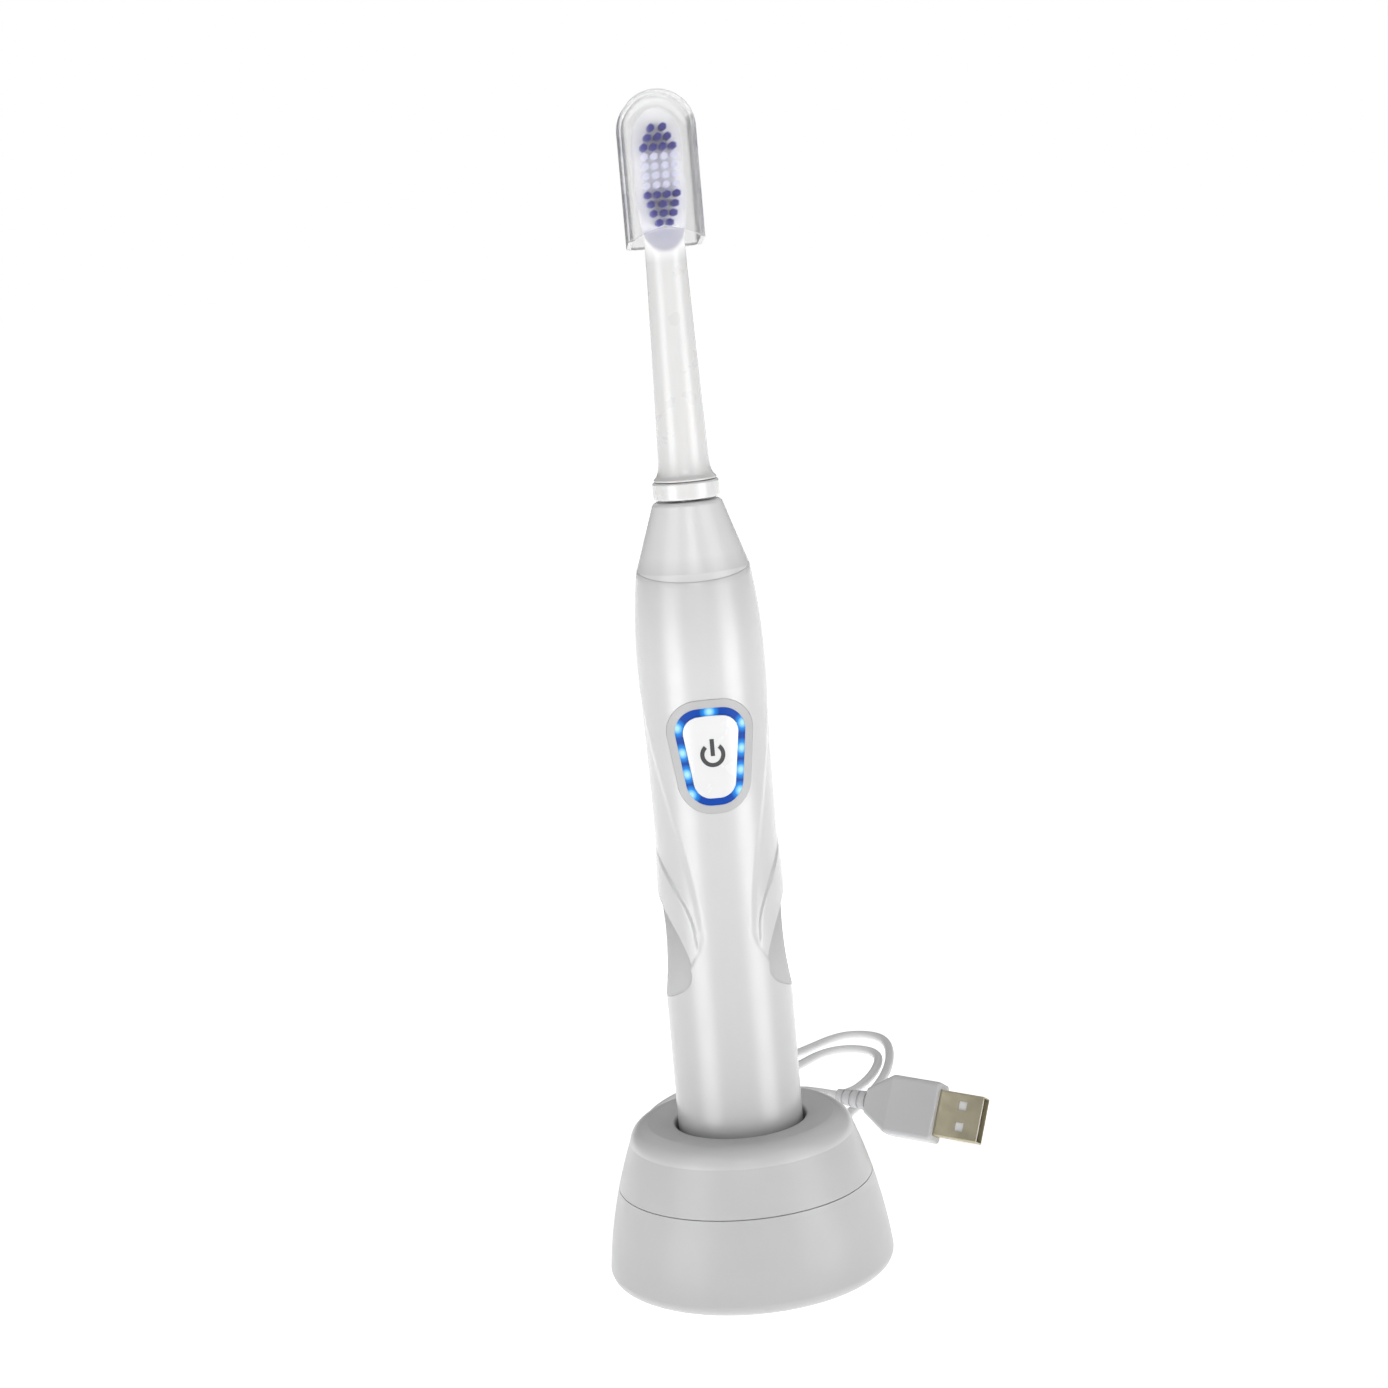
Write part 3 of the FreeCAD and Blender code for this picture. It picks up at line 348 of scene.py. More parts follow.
def brushed_metal(name, colour, roughness, stretch, depth=0.000003):
    """Metal with fine lines along the stretched axis and a few darker stains."""
    paint = Paint(name, colour, roughness, Metallic=1.0)
    lines = paint.noise(0.00012, 3, stretch)
    paint.tinted(paint.noise(0.003, 4), 0.1)
    paint.roughened(lines, roughness - 0.08, roughness + 0.12)
    paint.embossed(lines, depth)
    return paint


def winding(name, colour):
    """Turns of enamelled wire, one above the other, with painted shade in the grooves between them."""
    paint = Paint(name, colour, 0.3, Metallic=0.85, Coat_Weight=0.6, Coat_Roughness=0.15)
    turns = paint.bands(0.0003, "Z", 0.4)
    # painted shade in the grooves between the turns
    dark = tuple(c * 0.35 for c in colour)
    paint.coloured(paint.mixed(turns, dark, colour))
    paint.roughened(paint.noise(0.0006, 3), 0.22, 0.42)
    paint.embossed(turns, 0.00008)
    return paint


def board(name, colour):
    """Solder mask over copper tracks, with the glass weave just showing."""
    paint = Paint(name, colour, 0.32, Coat_Weight=0.5, Coat_Roughness=0.1)
    tracks = paint.between(paint.cells(0.0022, "DISTANCE_TO_EDGE", (1, 1, 2.2)), 1, 0, 0.05, 0.11)
    light = tuple(min(1.0, c * 1.9 + 0.02) for c in colour)
    paint.coloured(paint.mixed(tracks, colour, light))
    weave = paint.embossed(paint.bands(0.0004, "X", 0.2), 0.000004)
    paint.embossed(tracks, 0.00003, weave)
    return paint


def sintered(name, colour):
    """Pressed and fired powder: matt, with grains and tiny pits."""
    paint = Paint(name, colour, 0.7)
    paint.tinted(paint.noise(0.0004, 5), 0.35)
    paint.embossed(paint.cells(0.0003), 0.00003)
    return paint


def shrink_sleeve(name, colour):
    """Glossy plastic sleeve, slightly wrinkled round the cell."""
    paint = Paint(name, colour, 0.2, Coat_Weight=0.5, Coat_Roughness=0.08)
    paint.tinted(paint.noise(0.006, 4), 0.12)
    paint.roughened(paint.noise(0.003, 3), 0.14, 0.3)
    paint.embossed(paint.noise(0.0016, 2, (1, 1, 6)), 0.00005)
    return paint


def cord_sheath(name, colour):
    """Extruded PVC sheath: satin, with faint lengthwise cloudiness and a little dust."""
    paint = Paint(name, colour, 0.42, Coat_Weight=0.1, Coat_Roughness=0.3)
    paint.tinted(paint.noise(0.007, 5), 0.04)
    paint.roughened(paint.noise(0.0015, 4), 0.34, 0.52)
    paint.embossed(paint.noise(0.0004, 3), 0.00001)
    return paint


def bristle(name, colour, rim, through, glow):
    """Nylon filament: lets light through, glows faintly as painted light, and is paler towards its tip."""
    # the emission is painted light that lifts the tufts out of their shade
    paint = Paint(name, colour, 0.35, Transmission_Weight=through, Emission_Strength=glow)
    paint.shader.inputs["Emission Color"].default_value = (*colour, 1)
    tip = paint.between(paint.across("Y"), 1, 0, TUFT_TIP_Y * MM, (TUFT_TIP_Y + 2.5) * MM)
    dark = tuple(c * 0.72 for c in colour)
    body = paint.mixed(paint.noise(0.00035, 2, (1, 30, 1)), dark, colour)
    faded = paint.between(tip, 0, 0.3)
    paint.coloured(paint.mixed(faded, body, rim))
    paint.roughened(paint.noise(0.0005, 2), 0.28, 0.45)
    return paint


def clear_plastic(name):
    """Clear polycarbonate: greyer where the wall is seen along itself, and in the lip round its foot."""
    paint = Paint(name, (0.8, 0.805, 0.81), 0.05, IOR=1.5, Transmission_Weight=0.75)
    facing = paint.nodes.new("ShaderNodeLayerWeight")
    facing.inputs["Blend"].default_value = 0.35
    edge = paint.between(facing.outputs["Facing"], 0.14, 0.9, 0.2, 0.8)
    foot = paint.between(paint.across("Y"), CAP_FOOT_FRONT_Z * MM, CAP_FOOT_BACK_Z * MM,
                         CAP_FRONT_Y * MM, CAP_BACK_Y * MM)
    over_foot = paint.maths("SUBTRACT", paint.height(), foot)
    on_front = paint.between(paint.across("Y"), 1, 0, (CAP_FRONT_Y + 1.0) * MM, (CAP_FRONT_Y + 1.1) * MM)
    sideways = paint.maths("ABSOLUTE", paint.across("X"))
    arch = paint.between(sideways, CAP_ARCH * MM, 0, 0.0, CAP_ARCH_REACH * MM)
    over_edge = paint.maths("SUBTRACT", over_foot, paint.maths("MULTIPLY", arch, on_front))
    lip = paint.between(over_edge, 0.8, 0, 0.3 * MM, 0.75 * MM)
    paint.links.new(paint.maths("MAXIMUM", edge, lip), paint.shader.inputs["Alpha"])
    paint.coloured(paint.mixed(lip, paint.colour, (0.36, 0.36, 0.37)))
    paint.links.new(paint.between(lip, 0.75, 0.15), paint.shader.inputs["Transmission Weight"])
    paint.roughened(paint.noise(0.004, 4), 0.03, 0.09)
    paint.embossed(paint.noise(0.005, 2), 0.00002)
    return paint


def lamp_places():
    """Middles of the nine lamps behind the light ring, in metres, on the ring's face."""
    places = [(0.0, LAMP_TOP_Z)]
    for drop in LAMP_DROPS:
        x = min(LAMP_HALF_TOP - LAMP_TAPER * drop, LAMP_REACH)
        places += [(x, LAMP_TOP_Z - drop), (-x, LAMP_TOP_Z - drop)]
    face = HANDLE_RADIUS + 0.2
    return [(x * MM, -math.sqrt(face * face - x * x) * MM, z * MM) for x, z in places]


def light_guide(name):
    """Blue light guide that glows nearly white in front of each lamp."""
    paint = Paint(name, (0.002, 0.015, 0.14), 0.4, Emission_Strength=1.0, Specular_IOR_Level=0.12)
    away = [paint.vector("DISTANCE", paint.place, place) for place in lamp_places()]
    nearest = functools.reduce(lambda one, other: paint.maths("MINIMUM", one, other), away)
    glow = paint.between(nearest, 1, 0, 0.0, LAMP_GLOW_RADIUS)
    halo = paint.between(glow, 0, 1, 0.0, 0.55)
    core = paint.between(glow, 0, 1, 0.45, 0.85)
    blue = paint.mixed(halo, (0.004, 0.05, 0.24), (0.02, 0.33, 0.80))
    colour = paint.mixed(core, blue, (0.45, 0.88, 1.0))
    paint.links.new(colour, paint.shader.inputs["Emission Color"])
    paint.tinted(paint.noise(0.002, 3), 0.15)
    return paint


def lamp_lens(name):
    """Milky lens of a lit lamp."""
    paint = Paint(name, (0.9, 0.95, 1.0), 0.2, Emission_Strength=1.5)
    paint.tinted(paint.noise(0.0008, 2), 0.05)
    paint.shader.inputs["Emission Color"].default_value = (0.55, 0.85, 1.0, 1)
    return paint


def printed_mark(name):
    """Matt grey printing ink."""
    paint = Paint(name, (0.055, 0.055, 0.058), 0.5, Specular_IOR_Level=0.25)
    paint.tinted(paint.noise(0.0004, 3), 0.12)
    paint.embossed(paint.noise(0.0002, 2), 0.000004)
    return paint


PAINTS = {
    # the housing's second colour is its nose painted paler: painted light
    "housing_white": housing_plastic("gloss_white_housing", (0.465, 0.465, 0.47), (0.60, 0.60, 0.605)),
    "base_grey": satin_plastic("satin_grey_base", (0.575, 0.575, 0.58), 0.34, 0.000006, Coat_Weight=0.3,
                               Coat_Roughness=0.3),
    # the grip's paler foot colour and darker top are painted shade of the pad's hollow
    "grip_grey": soft_touch("soft_grey_grip", (0.27, 0.27, 0.275), foot=(0.50, 0.50, 0.505)),
    "frame_grey": satin_plastic("satin_grey_frame", (0.385, 0.385, 0.39), 0.42, 0.000005),
    "light_blue": light_guide("blue_light_guide"),
    "lamp": lamp_lens("lamp_lens"),
    "button_white": gloss_plastic("gloss_white_button", (0.60, 0.60, 0.605), 0.24),
    # the brush's second colour is its head painted whiter: painted light
    "brush_white": brush_plastic("gloss_white_brush", (0.53, 0.53, 0.525), (0.79, 0.79, 0.79)),
    # the last number of each bristle is a painted glow that lifts the tufts out of their shade
    "bristle_blue": bristle("nylon_blue", (0.05, 0.035, 0.46), (0.16, 0.14, 0.66), 0.1, 0.05),
    "bristle_white": bristle("nylon_white", (0.78, 0.78, 0.87), (0.84, 0.84, 0.91), 0.35, 0.2),
    "clear": clear_plastic("clear_polycarbonate"),
    "cord_grey": cord_sheath("grey_cord_sheath", (0.82, 0.82, 0.825)),
    "plug_grey": satin_plastic("satin_grey_plug", (0.64, 0.64, 0.65), 0.5, 0.000010),
    "nickel": brushed_metal("nickel_plate", (0.50, 0.46, 0.335), 0.34, (40, 40, 40), 0.0000002),
    "plug_insert": gloss_plastic("moulded_insulator", (0.92, 0.92, 0.92), 0.35),
    "gold": brushed_metal("gold_plate", (0.83, 0.62, 0.24), 0.22, (10, 1, 1)),
    "steel": brushed_metal("turned_steel", (0.60, 0.60, 0.62), 0.28, (20, 20, 1)),
    "copper": winding("copper_winding", (0.72, 0.34, 0.16)),
    "ferrite": sintered("sintered_ferrite", (0.05, 0.05, 0.055)),
    "board_green": board("green_board", (0.015, 0.16, 0.05)),
    "black_rubber": soft_touch("black_rubber", (0.02, 0.02, 0.021), 0.7),
    "frame_black": satin_plastic("black_nylon", (0.03, 0.03, 0.032), 0.5),
    "cell_wrap": shrink_sleeve("cell_sleeve", (0.03, 0.14, 0.42)),
}
MARK = printed_mark("printed_grey_mark")


def paint_frame():
    """Every carried-over node gets the finish of its material slot."""
    for part in frame["record"]["subparts"]:
        material = PAINTS[part["material_slot"]].material
        for slot in NODES[part["node"]].material_slots:
            slot.material = material


# ---------------------------------------------------------------- mesh helpers
def closed_mesh(name, points, faces):
    """A mesh from points in millimetres, facing outward, or their convex hull if there are no faces."""
    mesh = bpy.data.meshes.new(name)
    mesh.from_pydata([Vector(p) * MM for p in points], [], faces)
    shaping = bmesh.new()
    shaping.from_mesh(mesh)
    if not faces:
        bmesh.ops.convex_hull(shaping, input=shaping.verts)
    bmesh.ops.recalc_face_normals(shaping, faces=shaping.faces)
    shaping.to_mesh(mesh)
    shaping.free()
    return mesh


def linked(name, data):
    """An object of the scene with the given mesh, curve, light or camera."""
    thing = bpy.data.objects.new(name, data)
    SCENE.collection.objects.link(thing)
    return thing


def shade(mesh, sharp):
    """Smooth shading except at edges sharper than the given angle."""
    mesh.shade_smooth()
    mesh.set_sharp_from_angle(angle=math.radians(sharp))


def add_piece(name, points, faces, body, slot, sharp, material=None):
    """A visible piece that rides on a body, painted as its slot unless it has a material of its own."""
    mesh = closed_mesh(name, points, faces)
    shade(mesh, sharp)
    mesh.materials.append(material or PAINTS[slot].material)
    piece = linked(name, mesh)
    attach(piece, body)
    return piece


def joined_rings(rings, loop=False):
    """Points and faces of a surface through rings of equal count: closed by fans, or on itself."""
    count = len(rings[0])
    points = [p for ring in rings for p in ring]
    pairs = list(zip(range(len(rings)), range(1, len(rings))))
    if loop:
        pairs.append((len(rings) - 1, 0))
    faces = []
    for low, high in pairs:
        for i in range(count):
            j = (i + 1) % count
            faces.append((low * count + i, low * count + j, high * count + j, high * count + i))
    if not loop:
        for row in (0, len(rings) - 1):
            middle = tuple(np.mean(rings[row], axis=0))
            points.append(middle)
            start = row * count
            faces += [(start + i, start + (i + 1) % count, len(points) - 1) for i in range(count)]
    return points, faces


def circle(radius, z, count):
    """A level ring round the object's axis."""
    angles = [2 * math.pi * i / count for i in range(count)]
    return [(radius * math.cos(a), radius * math.sin(a), z) for a in angles]


def smooth(value, low, high):
    """0 below low, 1 above high, and an S curve between."""
    t = np.clip((value - low) / (high - low), 0, 1)
    return t * t * (3 - 2 * t)


def cut_away(piece, cutters, sharp):
    """Cuts the closed cutters out of piece for good, and removes them."""
    for cutter in cutters:
        step = piece.modifiers.new(cutter.name, "BOOLEAN")
        step.operation = "DIFFERENCE"
        step.solver = "EXACT"
        step.object = cutter
    bpy.context.view_layer.update()
    done = piece.evaluated_get(bpy.context.evaluated_depsgraph_get())
    mesh = bpy.data.meshes.new_from_object(done)
    piece.modifiers.clear()
    piece.data = mesh
    for cutter in cutters:
        bpy.data.objects.remove(cutter)
    shade(mesh, sharp)


# ---------------------------------------------------------------- handle
def arc(start, middle, end, count=22):
    """Points along the arc through three points, without its end."""
    a, b, c = complex(*start), complex(*middle), complex(*end)
    w = (c - a) / (b - a)
    centre = a - (a - b) * (w - abs(w) ** 2) / (2j * w.imag)
    ratio = (c - centre) / (a - centre)
    sweep = math.atan2(ratio.imag, ratio.real)
    turns = [complex(math.cos(sweep * k / count), math.sin(sweep * k / count)) for k in range(count)]
    return [(p.real, p.imag) for p in (centre + (a - centre) * t for t in turns)]


def leaf_outline(arcs):
    """Closed outline from the tip down one side and up the other."""
    half = [p for piece in arcs for p in arc(*piece)]
    foot = arcs[-1][2]
    return half + [foot] + [(-y, z) for y, z in reversed(half[1:])]


def unrolled(y):
    """Distance round the handle from its side, for a place y in front of or behind it."""
    return HANDLE_RADIUS * np.arcsin(np.clip(y / HANDLE_RADIUS, -1, 1))


def inside_leaf(arcs, y, z, softness):
    """1 well inside a leaf, 0 outside, with a soft edge of the given width."""
    outline = [(unrolled(edge_y), edge_z) for edge_y, edge_z in leaf_outline(arcs)]
    return smooth(distance_inside(outline, unrolled(y), z), 0, softness)


def distance_inside(outline, s, z):
    """How far each place (s, z) lies inside the outline; negative outside."""
    nearest = np.full(s.shape, 1e9)
    inside = np.zeros(s.shape, bool)
    for (s0, z0), (s1, z1) in zip(outline, outline[1:] + outline[:1]):
        ds, dz = s1 - s0, z1 - z0
        t = np.clip(((s - s0) * ds + (z - z0) * dz) / (ds * ds + dz * dz), 0, 1)
        nearest = np.minimum(nearest, np.hypot(s - s0 - t * ds, z - z0 - t * dz))
        if dz:
            inside ^= ((z0 > z) != (z1 > z)) & (s < s0 + (z - z0) * ds / dz)
    return np.where(inside, nearest, -nearest)


def surface_radius(surface, z):
    """Radius at height z of the shallow arc through three (radius, z) points."""
    radii, heights = zip(*surface)
    return np.polyval(np.polyfit(heights, radii, 2), z)


def plain_radius(z):
    """The housing's radius before the leaves: straight tube, long shoulder, cone."""
    on_arc = np.clip(z, SHOULDER_Z, SHOULDER_TOP_Z) - SHOULDER_Z
    radius = HANDLE_RADIUS - SHOULDER_ARC + np.sqrt(SHOULDER_ARC ** 2 - on_arc ** 2)
    shoulder_end = HANDLE_RADIUS - SHOULDER_ARC + math.sqrt(
        SHOULDER_ARC ** 2 - (SHOULDER_TOP_Z - SHOULDER_Z) ** 2)
    slope = (CONE_TOP_RADIUS - shoulder_end) / (CONE_TOP_Z - SHOULDER_TOP_Z)
    return radius + slope * np.maximum(z - SHOULDER_TOP_Z, 0)


def leafed_radius(y, z):
    """The housing's radius with its two upper leaves carved in, at distance y in front or behind."""
    radius = plain_radius(z)
    in_1 = inside_leaf(LEAF_1, y, z, LEAF_1_SOFTNESS)
    in_2 = inside_leaf(LEAF_2, y, z, LEAF_2_SOFTNESS)
    radius = radius + in_1 * np.minimum(surface_radius(LEAF_1_SURFACE, z) - radius, 0)
    return radius + in_2 * (np.minimum(surface_radius(LEAF_2_SURFACE, z), HANDLE_RADIUS) - radius)


def slanted(z, y):
    """Heights near the top lean over to follow the seam's plane."""
    lean = np.clip((z - SLANT_FROM_Z) / (SEAM_Z - SLANT_FROM_Z), 0, 1)
    return z + lean * (SEAM_SLOPE * y)


def handle_skin():
    """The housing: outside with its leaves, bored through, with a window and spaces for the pads."""
    heights = [SKIN_FOOT_Z + rise for rise in SKIN_FOOT_RINGS]
    for low_z, high_z, step in SKIN_RINGS:
        heights += list(np.arange(low_z, high_z, step))
    heights += [SKIN_TOP_Z + rise for rise in SKIN_TOP_RINGS]
    angles = np.arange(SKIN_COLUMNS) * 2 * math.pi / SKIN_COLUMNS
    z, angle = np.meshgrid(np.array(heights), angles, indexing="ij")
    z = slanted(z, plain_radius(z) * np.sin(angle))
    radius = leafed_radius(plain_radius(z) * np.sin(angle), z)
    for row, cut in END_CUTS.items():
        radius[row] -= cut
    outside = np.stack([radius * np.cos(angle), radius * np.sin(angle), z], axis=-1)
    rings = [[tuple(p) for p in row] for row in outside]
    bore = ((MOUTH_BORE, SKIN_TOP_Z), (MOUTH_BORE, MOUTH_FOOT_Z), (HANDLE_BORE, BORE_TOP_Z),
            (HANDLE_BORE, SKIN_FOOT_Z))
    for inner, height in bore:
        ring = circle(inner, height, SKIN_COLUMNS)
        rings.append([(x, y, float(slanted(z, y))) for x, y, z in ring])
    points, faces = joined_rings(rings, loop=True)
    skin = add_piece("handle_skin", points, faces, "handle", "housing_white", SKIN_SHARP)
    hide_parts("handle_shell")
    cut_away(skin, [window_cutter(), pad_cutter(1), pad_cutter(-1)], SKIN_SHARP)


def window_cutter():
    """Prism of the bezel's own outline, a little larger than the bezel."""
    bezel = [v.co / MM for v in NODES["button_bezel"].data.vertices]
    middle_z = (min(p.z for p in bezel) + max(p.z for p in bezel)) / 2
    outline = [(p.x * WINDOW_GROWTH, middle_z + (p.z - middle_z) * WINDOW_GROWTH) for p in bezel]
    prism = [(x, y, z) for x, z in outline for y in WINDOW_REACH]
    return linked("window", closed_mesh("window", prism, []))


def pad_cutter(side):
    """Space over and under a grip pad, with a floor that follows the pad's underside."""
    shares = (0.33, 0.66, 1.0)
    rings = []
    for share, outer in [(s, True) for s in shares] + [(s, False) for s in reversed(shares)]:
        ring = []
        for edge_y, edge_z in leaf_outline(LEAF_3):
            y, z = edge_y * share, PAD_MIDDLE_Z + (edge_z - PAD_MIDDLE_Z) * share
            floor_radius = surface_radius(LEAF_3_SURFACE, z) - PAD_THICKNESS
            reach = PAD_SPACE_REACH if outer else math.sqrt(floor_radius ** 2 - y ** 2)
            ring.append((side * reach, y, z))
        rings.append(ring)
    return linked("pad_space", closed_mesh("pad_space", *joined_rings(rings)))


# ---------------------------------------------------------------- power mark on the button
def band_on_button(name, centreline):
    """A printed band along (x, z, across_x, across_z) places, lying on the button's round face."""
    rings = []
    for x, z, across_x, across_z in centreline:
        ring = []
        for side, height in ((1, ICON_DEPTH), (1, -ICON_DEPTH), (-1, -ICON_DEPTH), (-1, ICON_DEPTH)):
            px = x + side * across_x * ICON_STROKE / 2
            pz = z + side * across_z * ICON_STROKE / 2
            radius = BUTTON_TOP_RADIUS + height
            ring.append((px, -math.sqrt(radius ** 2 - px ** 2), pz))
        rings.append(ring)
    points, faces = joined_rings(rings)
    add_piece(name, points, faces, "button", "button_white", 30, MARK.material)


def power_mark():
    """The plain power symbol: a ring open at the top, and an upright bar in the opening."""
    ring = []
    for angle in np.linspace(math.pi / 2 + ICON_HALF_GAP, 5 * math.pi / 2 - ICON_HALF_GAP, 73):
        across_x, across_z = math.cos(angle), math.sin(angle)
        ring.append((ICON_RADIUS * across_x, ICON_Z + ICON_RADIUS * across_z, across_x, across_z))
    band_on_button("power_mark_ring", ring)
    bar = [(0.0, ICON_Z + rise, 1.0, 0.0) for rise in np.linspace(*ICON_BAR, 5)]
    band_on_button("power_mark_bar", bar)


# ---------------------------------------------------------------- brush head
def softer_max(first, second, width):
    """The larger of two numbers, with the change from one to the other rounded off."""
    return (first + second + np.sqrt((first - second) ** 2 + width ** 2)) / 2


def neck_radius(z):
    """The neck tapers evenly from its foot to its top."""
    return np.interp(z, (NECK_FOOT[0], NECK_TOP[0]), (NECK_FOOT[1], NECK_TOP[1]))


def head_section(z, count):
    """Closed outline of the neck or head at height z: round low down, flat in front above."""
    to_head = smooth(z, *HEAD_WIDENS_Z)
    half_width = neck_radius(z) + to_head * (HEAD_HALF_WIDTH - neck_radius(z))
    half_depth = neck_radius(z) + to_head * (HEAD_BACK - neck_radius(z))
    squareness = 2 + to_head
    crown = max(0.0, (z - HEAD_CROWN_Z) / (HEAD_TOP_Z - HEAD_CROWN_Z))
    half_width *= math.sqrt(max(0.0, 1 - crown ** 2))
    half_depth *= math.sqrt(max(0.0, 1 - crown ** 5))
    runout = np.clip((FACE_FOOT_Z - z) / FACE_RUNOUT, 0, 1.6)
    face_y = HEAD_FACE_Y - FACE_RUNOUT_DEPTH * runout ** 1.25
    ring = []
    for i in range(count):
        turn = 2 * math.pi * i / count
        c, s = math.cos(turn), math.sin(turn)
        x = half_width * math.copysign(abs(c) ** (2 / squareness), c)
        y = half_depth * math.copysign(abs(s) ** (2 / squareness), s)
        ring.append((x, float(softer_max(y, face_y, FACE_EDGE)), z))
    return ring


def brush_skin():
    """Collar, lip, flare, neck and head in one moulding, from the top of its bore to the crown."""
    profile = [(BRUSH_BORE, BRUSH_BORE_TOP_Z), (BRUSH_BORE, COLLAR_FOOT_Z)]
    profile += [(COLLAR_RADIUS, COLLAR_FOOT_Z), (COLLAR_RADIUS, LIP[0][1]), *LIP, *FLARE]
    rings = [circle(radius, z, BRUSH_COLUMNS) for radius, z in profile]
    heights = [NECK_FOOT[0]]
    for low_z, high_z, step in BRUSH_RINGS:
        heights += list(np.arange(low_z, high_z, step))
    crown = HEAD_TOP_Z - HEAD_CROWN_Z
    heights += [HEAD_CROWN_Z + crown * math.sin(math.radians(angle)) for angle in CROWN_ANGLES]
    rings += [head_section(z, BRUSH_COLUMNS) for z in heights]
    points, faces = joined_rings(rings)
    skin = add_piece("brush_skin", points, faces, "brush_head", "brush_white", BRUSH_SHARP)
    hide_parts("brush_neck")


def tuft_places(rows):
    """Middles of the tufts in the given rows, as (x, z)."""
    places = []
    for row in rows:
        count, width = TUFT_ROWS[row]
        z = TUFT_TOP_Z - row * TUFT_PITCH_Z
        places += [(width * (i / (count - 1) - 0.5), z) for i in range(count)]
    return places


def filament(x, z, lean_x, lean_z, shortfall):
    """Six-sided filament with a rounded tip, from inside the head to a little short of the tuft's tip."""
    rings = []
    root = HEAD_FACE_Y + 0.8
    tip = TUFT_TIP_Y + shortfall
    for y, share in ((root, 1.0), (tip + 0.12, 1.0), (tip + 0.04, 0.8), (tip, 0.45)):
        along = (root - y) / (root - tip)
        ring = []
        for i in range(6):
            turn = math.pi * i / 3
            ring.append((x + lean_x * along + FILAMENT_RADIUS * share * math.cos(turn), y,
                         z + lean_z * along + FILAMENT_RADIUS * share * math.sin(turn)))
        rings.append(ring)
    return joined_rings(rings)


def bundle_places():
    """Filaments of one tuft, packed as closely as their pitch allows."""
    reach = int(TUFT_RADIUS / FILAMENT_PITCH) + 2
    places = []
    for row in range(-reach, reach + 1):
        for column in range(-reach, reach + 1):
            x = (column + 0.5 * (row % 2)) * FILAMENT_PITCH
            z = row * FILAMENT_PITCH * math.sqrt(0.75)
            if math.hypot(x, z) <= TUFT_RADIUS - FILAMENT_RADIUS:
                places.append((x, z))
    return places


def bristles(name, rows, node, slot, seed):
    """The filaments of all tufts in the given rows, each tuft leaning and spreading a little."""
    chance = random.Random(seed)
    points, faces = [], []
    for tuft_x, tuft_z in tuft_places(rows):
        tilt_x, tilt_z = chance.uniform(-TUFT_TILT, TUFT_TILT), chance.uniform(-TUFT_TILT, TUFT_TILT)
        for x, z in bundle_places():
            lean_x = tilt_x + TUFT_SPREAD * x + chance.uniform(-FILAMENT_STRAY, FILAMENT_STRAY)
            lean_z = tilt_z + TUFT_SPREAD * z + chance.uniform(-FILAMENT_STRAY, FILAMENT_STRAY)
            shortfall = chance.uniform(0.0, FILAMENT_SHORTFALL)
            own_points, own_faces = filament(tuft_x + x, tuft_z + z, lean_x, lean_z, shortfall)
            start = len(points)
            points += own_points
            faces += [tuple(start + i for i in face) for face in own_faces]
    piece = add_piece(name, points, faces, "brush_head", slot, 50)
    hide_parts(node)


# ---------------------------------------------------------------- cord
def power_cord():
    """The cord's sheath: out of the strain relief, twice round on the floor, and up into the plug."""
    route = [CORD_EXIT, (CORD_EXIT[0], CORD_EXIT[1] + 0.0115, CORD_EXIT[2])]
    route += [(x, y, CORD_LOW) for x, y in CORD_FLOOR_POINTS] + CORD_RISE
    curve = bpy.data.curves.new("power_cord_sheath", "CURVE")
    curve.dimensions = "3D"
    curve.bevel_depth = CORD_DIAMETER / 2
    curve.bevel_resolution = 5
    curve.resolution_u = 10
    curve.use_fill_caps = True
    spline = curve.splines.new("NURBS")
    spline.points.add(len(route) - 1)
    for point, place in zip(spline.points, route):
        point.co = (*place, 1)
    spline.order_u = 3
    spline.use_endpoint_u = True
    spline.use_smooth = True
    curve.materials.append(PAINTS["cord_grey"].material)
    cord = linked("power_cord_sheath", curve)
    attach(cord, "base")
    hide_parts("power_cord")


# ---------------------------------------------------------------- studio
def camera():
    """Looks slightly to one side and down; its roll stands in for the object's lean."""
    turn, tilt, roll = (math.radians(angle) for angle in (CAMERA_TURN, CAMERA_TILT, CAMERA_ROLL))
    right = Vector((math.cos(turn), -math.sin(turn), 0))
    up = Vector((math.sin(turn) * math.sin(tilt), math.cos(turn) * math.sin(tilt), math.cos(tilt)))
    back = right.cross(up)
    picture_right = right * math.cos(roll) - up * math.sin(roll)
    picture_up = right * math.sin(roll) + up * math.cos(roll)
    data = bpy.data.cameras.new("camera")
    data.sensor_width = CAMERA_SENSOR
    data.lens = CAMERA_LENS
    data.clip_start, data.clip_end = 0.01, 50
    eye = linked("camera", data)
    axes = Matrix((picture_right, picture_up, back)).transposed()
    eye.matrix_world = Matrix.Translation(CAMERA_PLACE) @ axes.to_4x4()
    SCENE.camera = eye


def softbox(name, place, width, height, power):
    """A rectangular light aimed at the middle of the object."""
    data = bpy.data.lights.new(name, "AREA")
    data.shape = "RECTANGLE"
    data.size, data.size_y = width, height
    data.energy = power
    lamp = linked(name, data)
    lamp.location = place
    lamp.rotation_euler = (Vector(SOFTBOX_AIM) - Vector(place)).to_track_quat("-Z", "Y").to_euler()


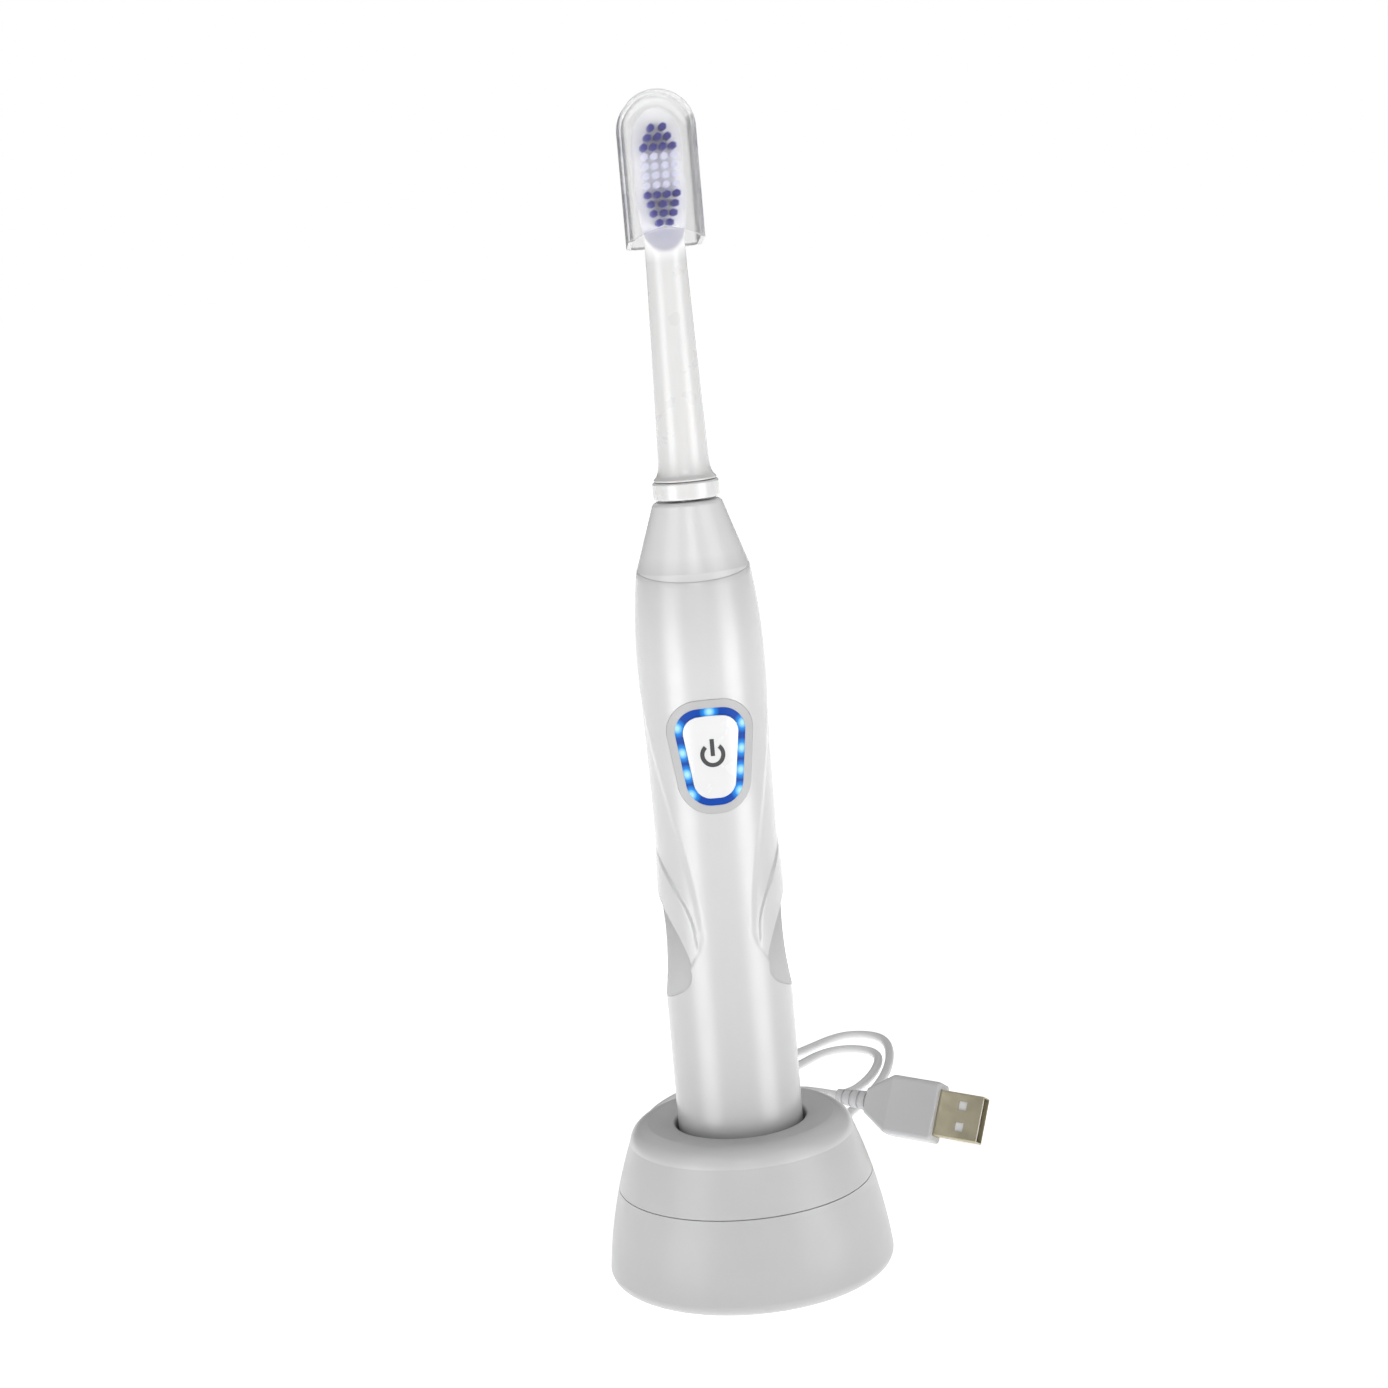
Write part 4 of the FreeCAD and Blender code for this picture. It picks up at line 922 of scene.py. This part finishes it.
def floor():
    """White sweep that glows a little, to stay white where the lights no longer reach.

    The glossy handle mirrors the two brighter sectors as the pale bands down its lower part.
    """
    paint = Paint("floor_white", (0.9, 0.9, 0.9), 0.9, Specular_IOR_Level=0.0)
    paint.shader.inputs["Emission Color"].default_value = (1, 1, 1, 1)
    distance = paint.vector("LENGTH", paint.place)
    direction = paint.vector("NORMALIZE", paint.place)
    glow = paint.between(distance, *FLOOR_GLOW, *FLOOR_GLOW_REACH)
    clear_of_base = paint.between(distance, 0.0, SECTOR_GLOW, *SECTOR_REACH)
    for side in (-1, 1):
        along = paint.vector("DOT_PRODUCT", direction, (side * SECTOR_ACROSS, SECTOR_FORWARD, 0))
        in_sector = paint.between(along, 0.0, 1.0, *SECTOR_EDGE)
        glow = paint.maths("MULTIPLY_ADD", in_sector, clear_of_base, glow)
    paint.links.new(glow, paint.shader.inputs["Emission Strength"])
    points, faces = joined_rings([circle(radius, 0, FLOOR_SIDES) for radius in FLOOR_RADII])
    mesh = bpy.data.meshes.new("floor")
    mesh.from_pydata(points[:-1], [], faces[:2 * FLOOR_SIDES])
    mesh.materials.append(paint.material)
    linked("floor", mesh)


def studio():
    """Soft lights on both sides, in front, above and behind, in a room that looks white to the camera."""
    for settings in SOFTBOXES:
        softbox(*settings)
    world = bpy.data.worlds.new("studio")
    world.use_nodes = True
    tree = world.node_tree
    background = tree.nodes["Background"]
    background.inputs["Color"].default_value = (1, 1, 1, 1)
    seen = tree.nodes.new("ShaderNodeLightPath").outputs["Is Camera Ray"]
    level = tree.nodes.new("ShaderNodeMapRange")
    level.inputs["To Min"].default_value = ROOM_LIGHT
    level.inputs["To Max"].default_value = 1.0
    tree.links.new(seen, level.inputs["Value"])
    tree.links.new(level.outputs[0], background.inputs["Strength"])
    SCENE.world = world
    SCENE.view_settings.view_transform = "Standard"


paint_frame()
handle_skin()
power_mark()
brush_skin()
bristles("bristles_blue", [row for row in range(len(TUFT_ROWS)) if row not in WHITE_ROWS],
         "tufts_blue", "bristle_blue", 3)
bristles("bristles_white", WHITE_ROWS, "tufts_white", "bristle_white", 5)
power_cord()
floor()
studio()
camera()
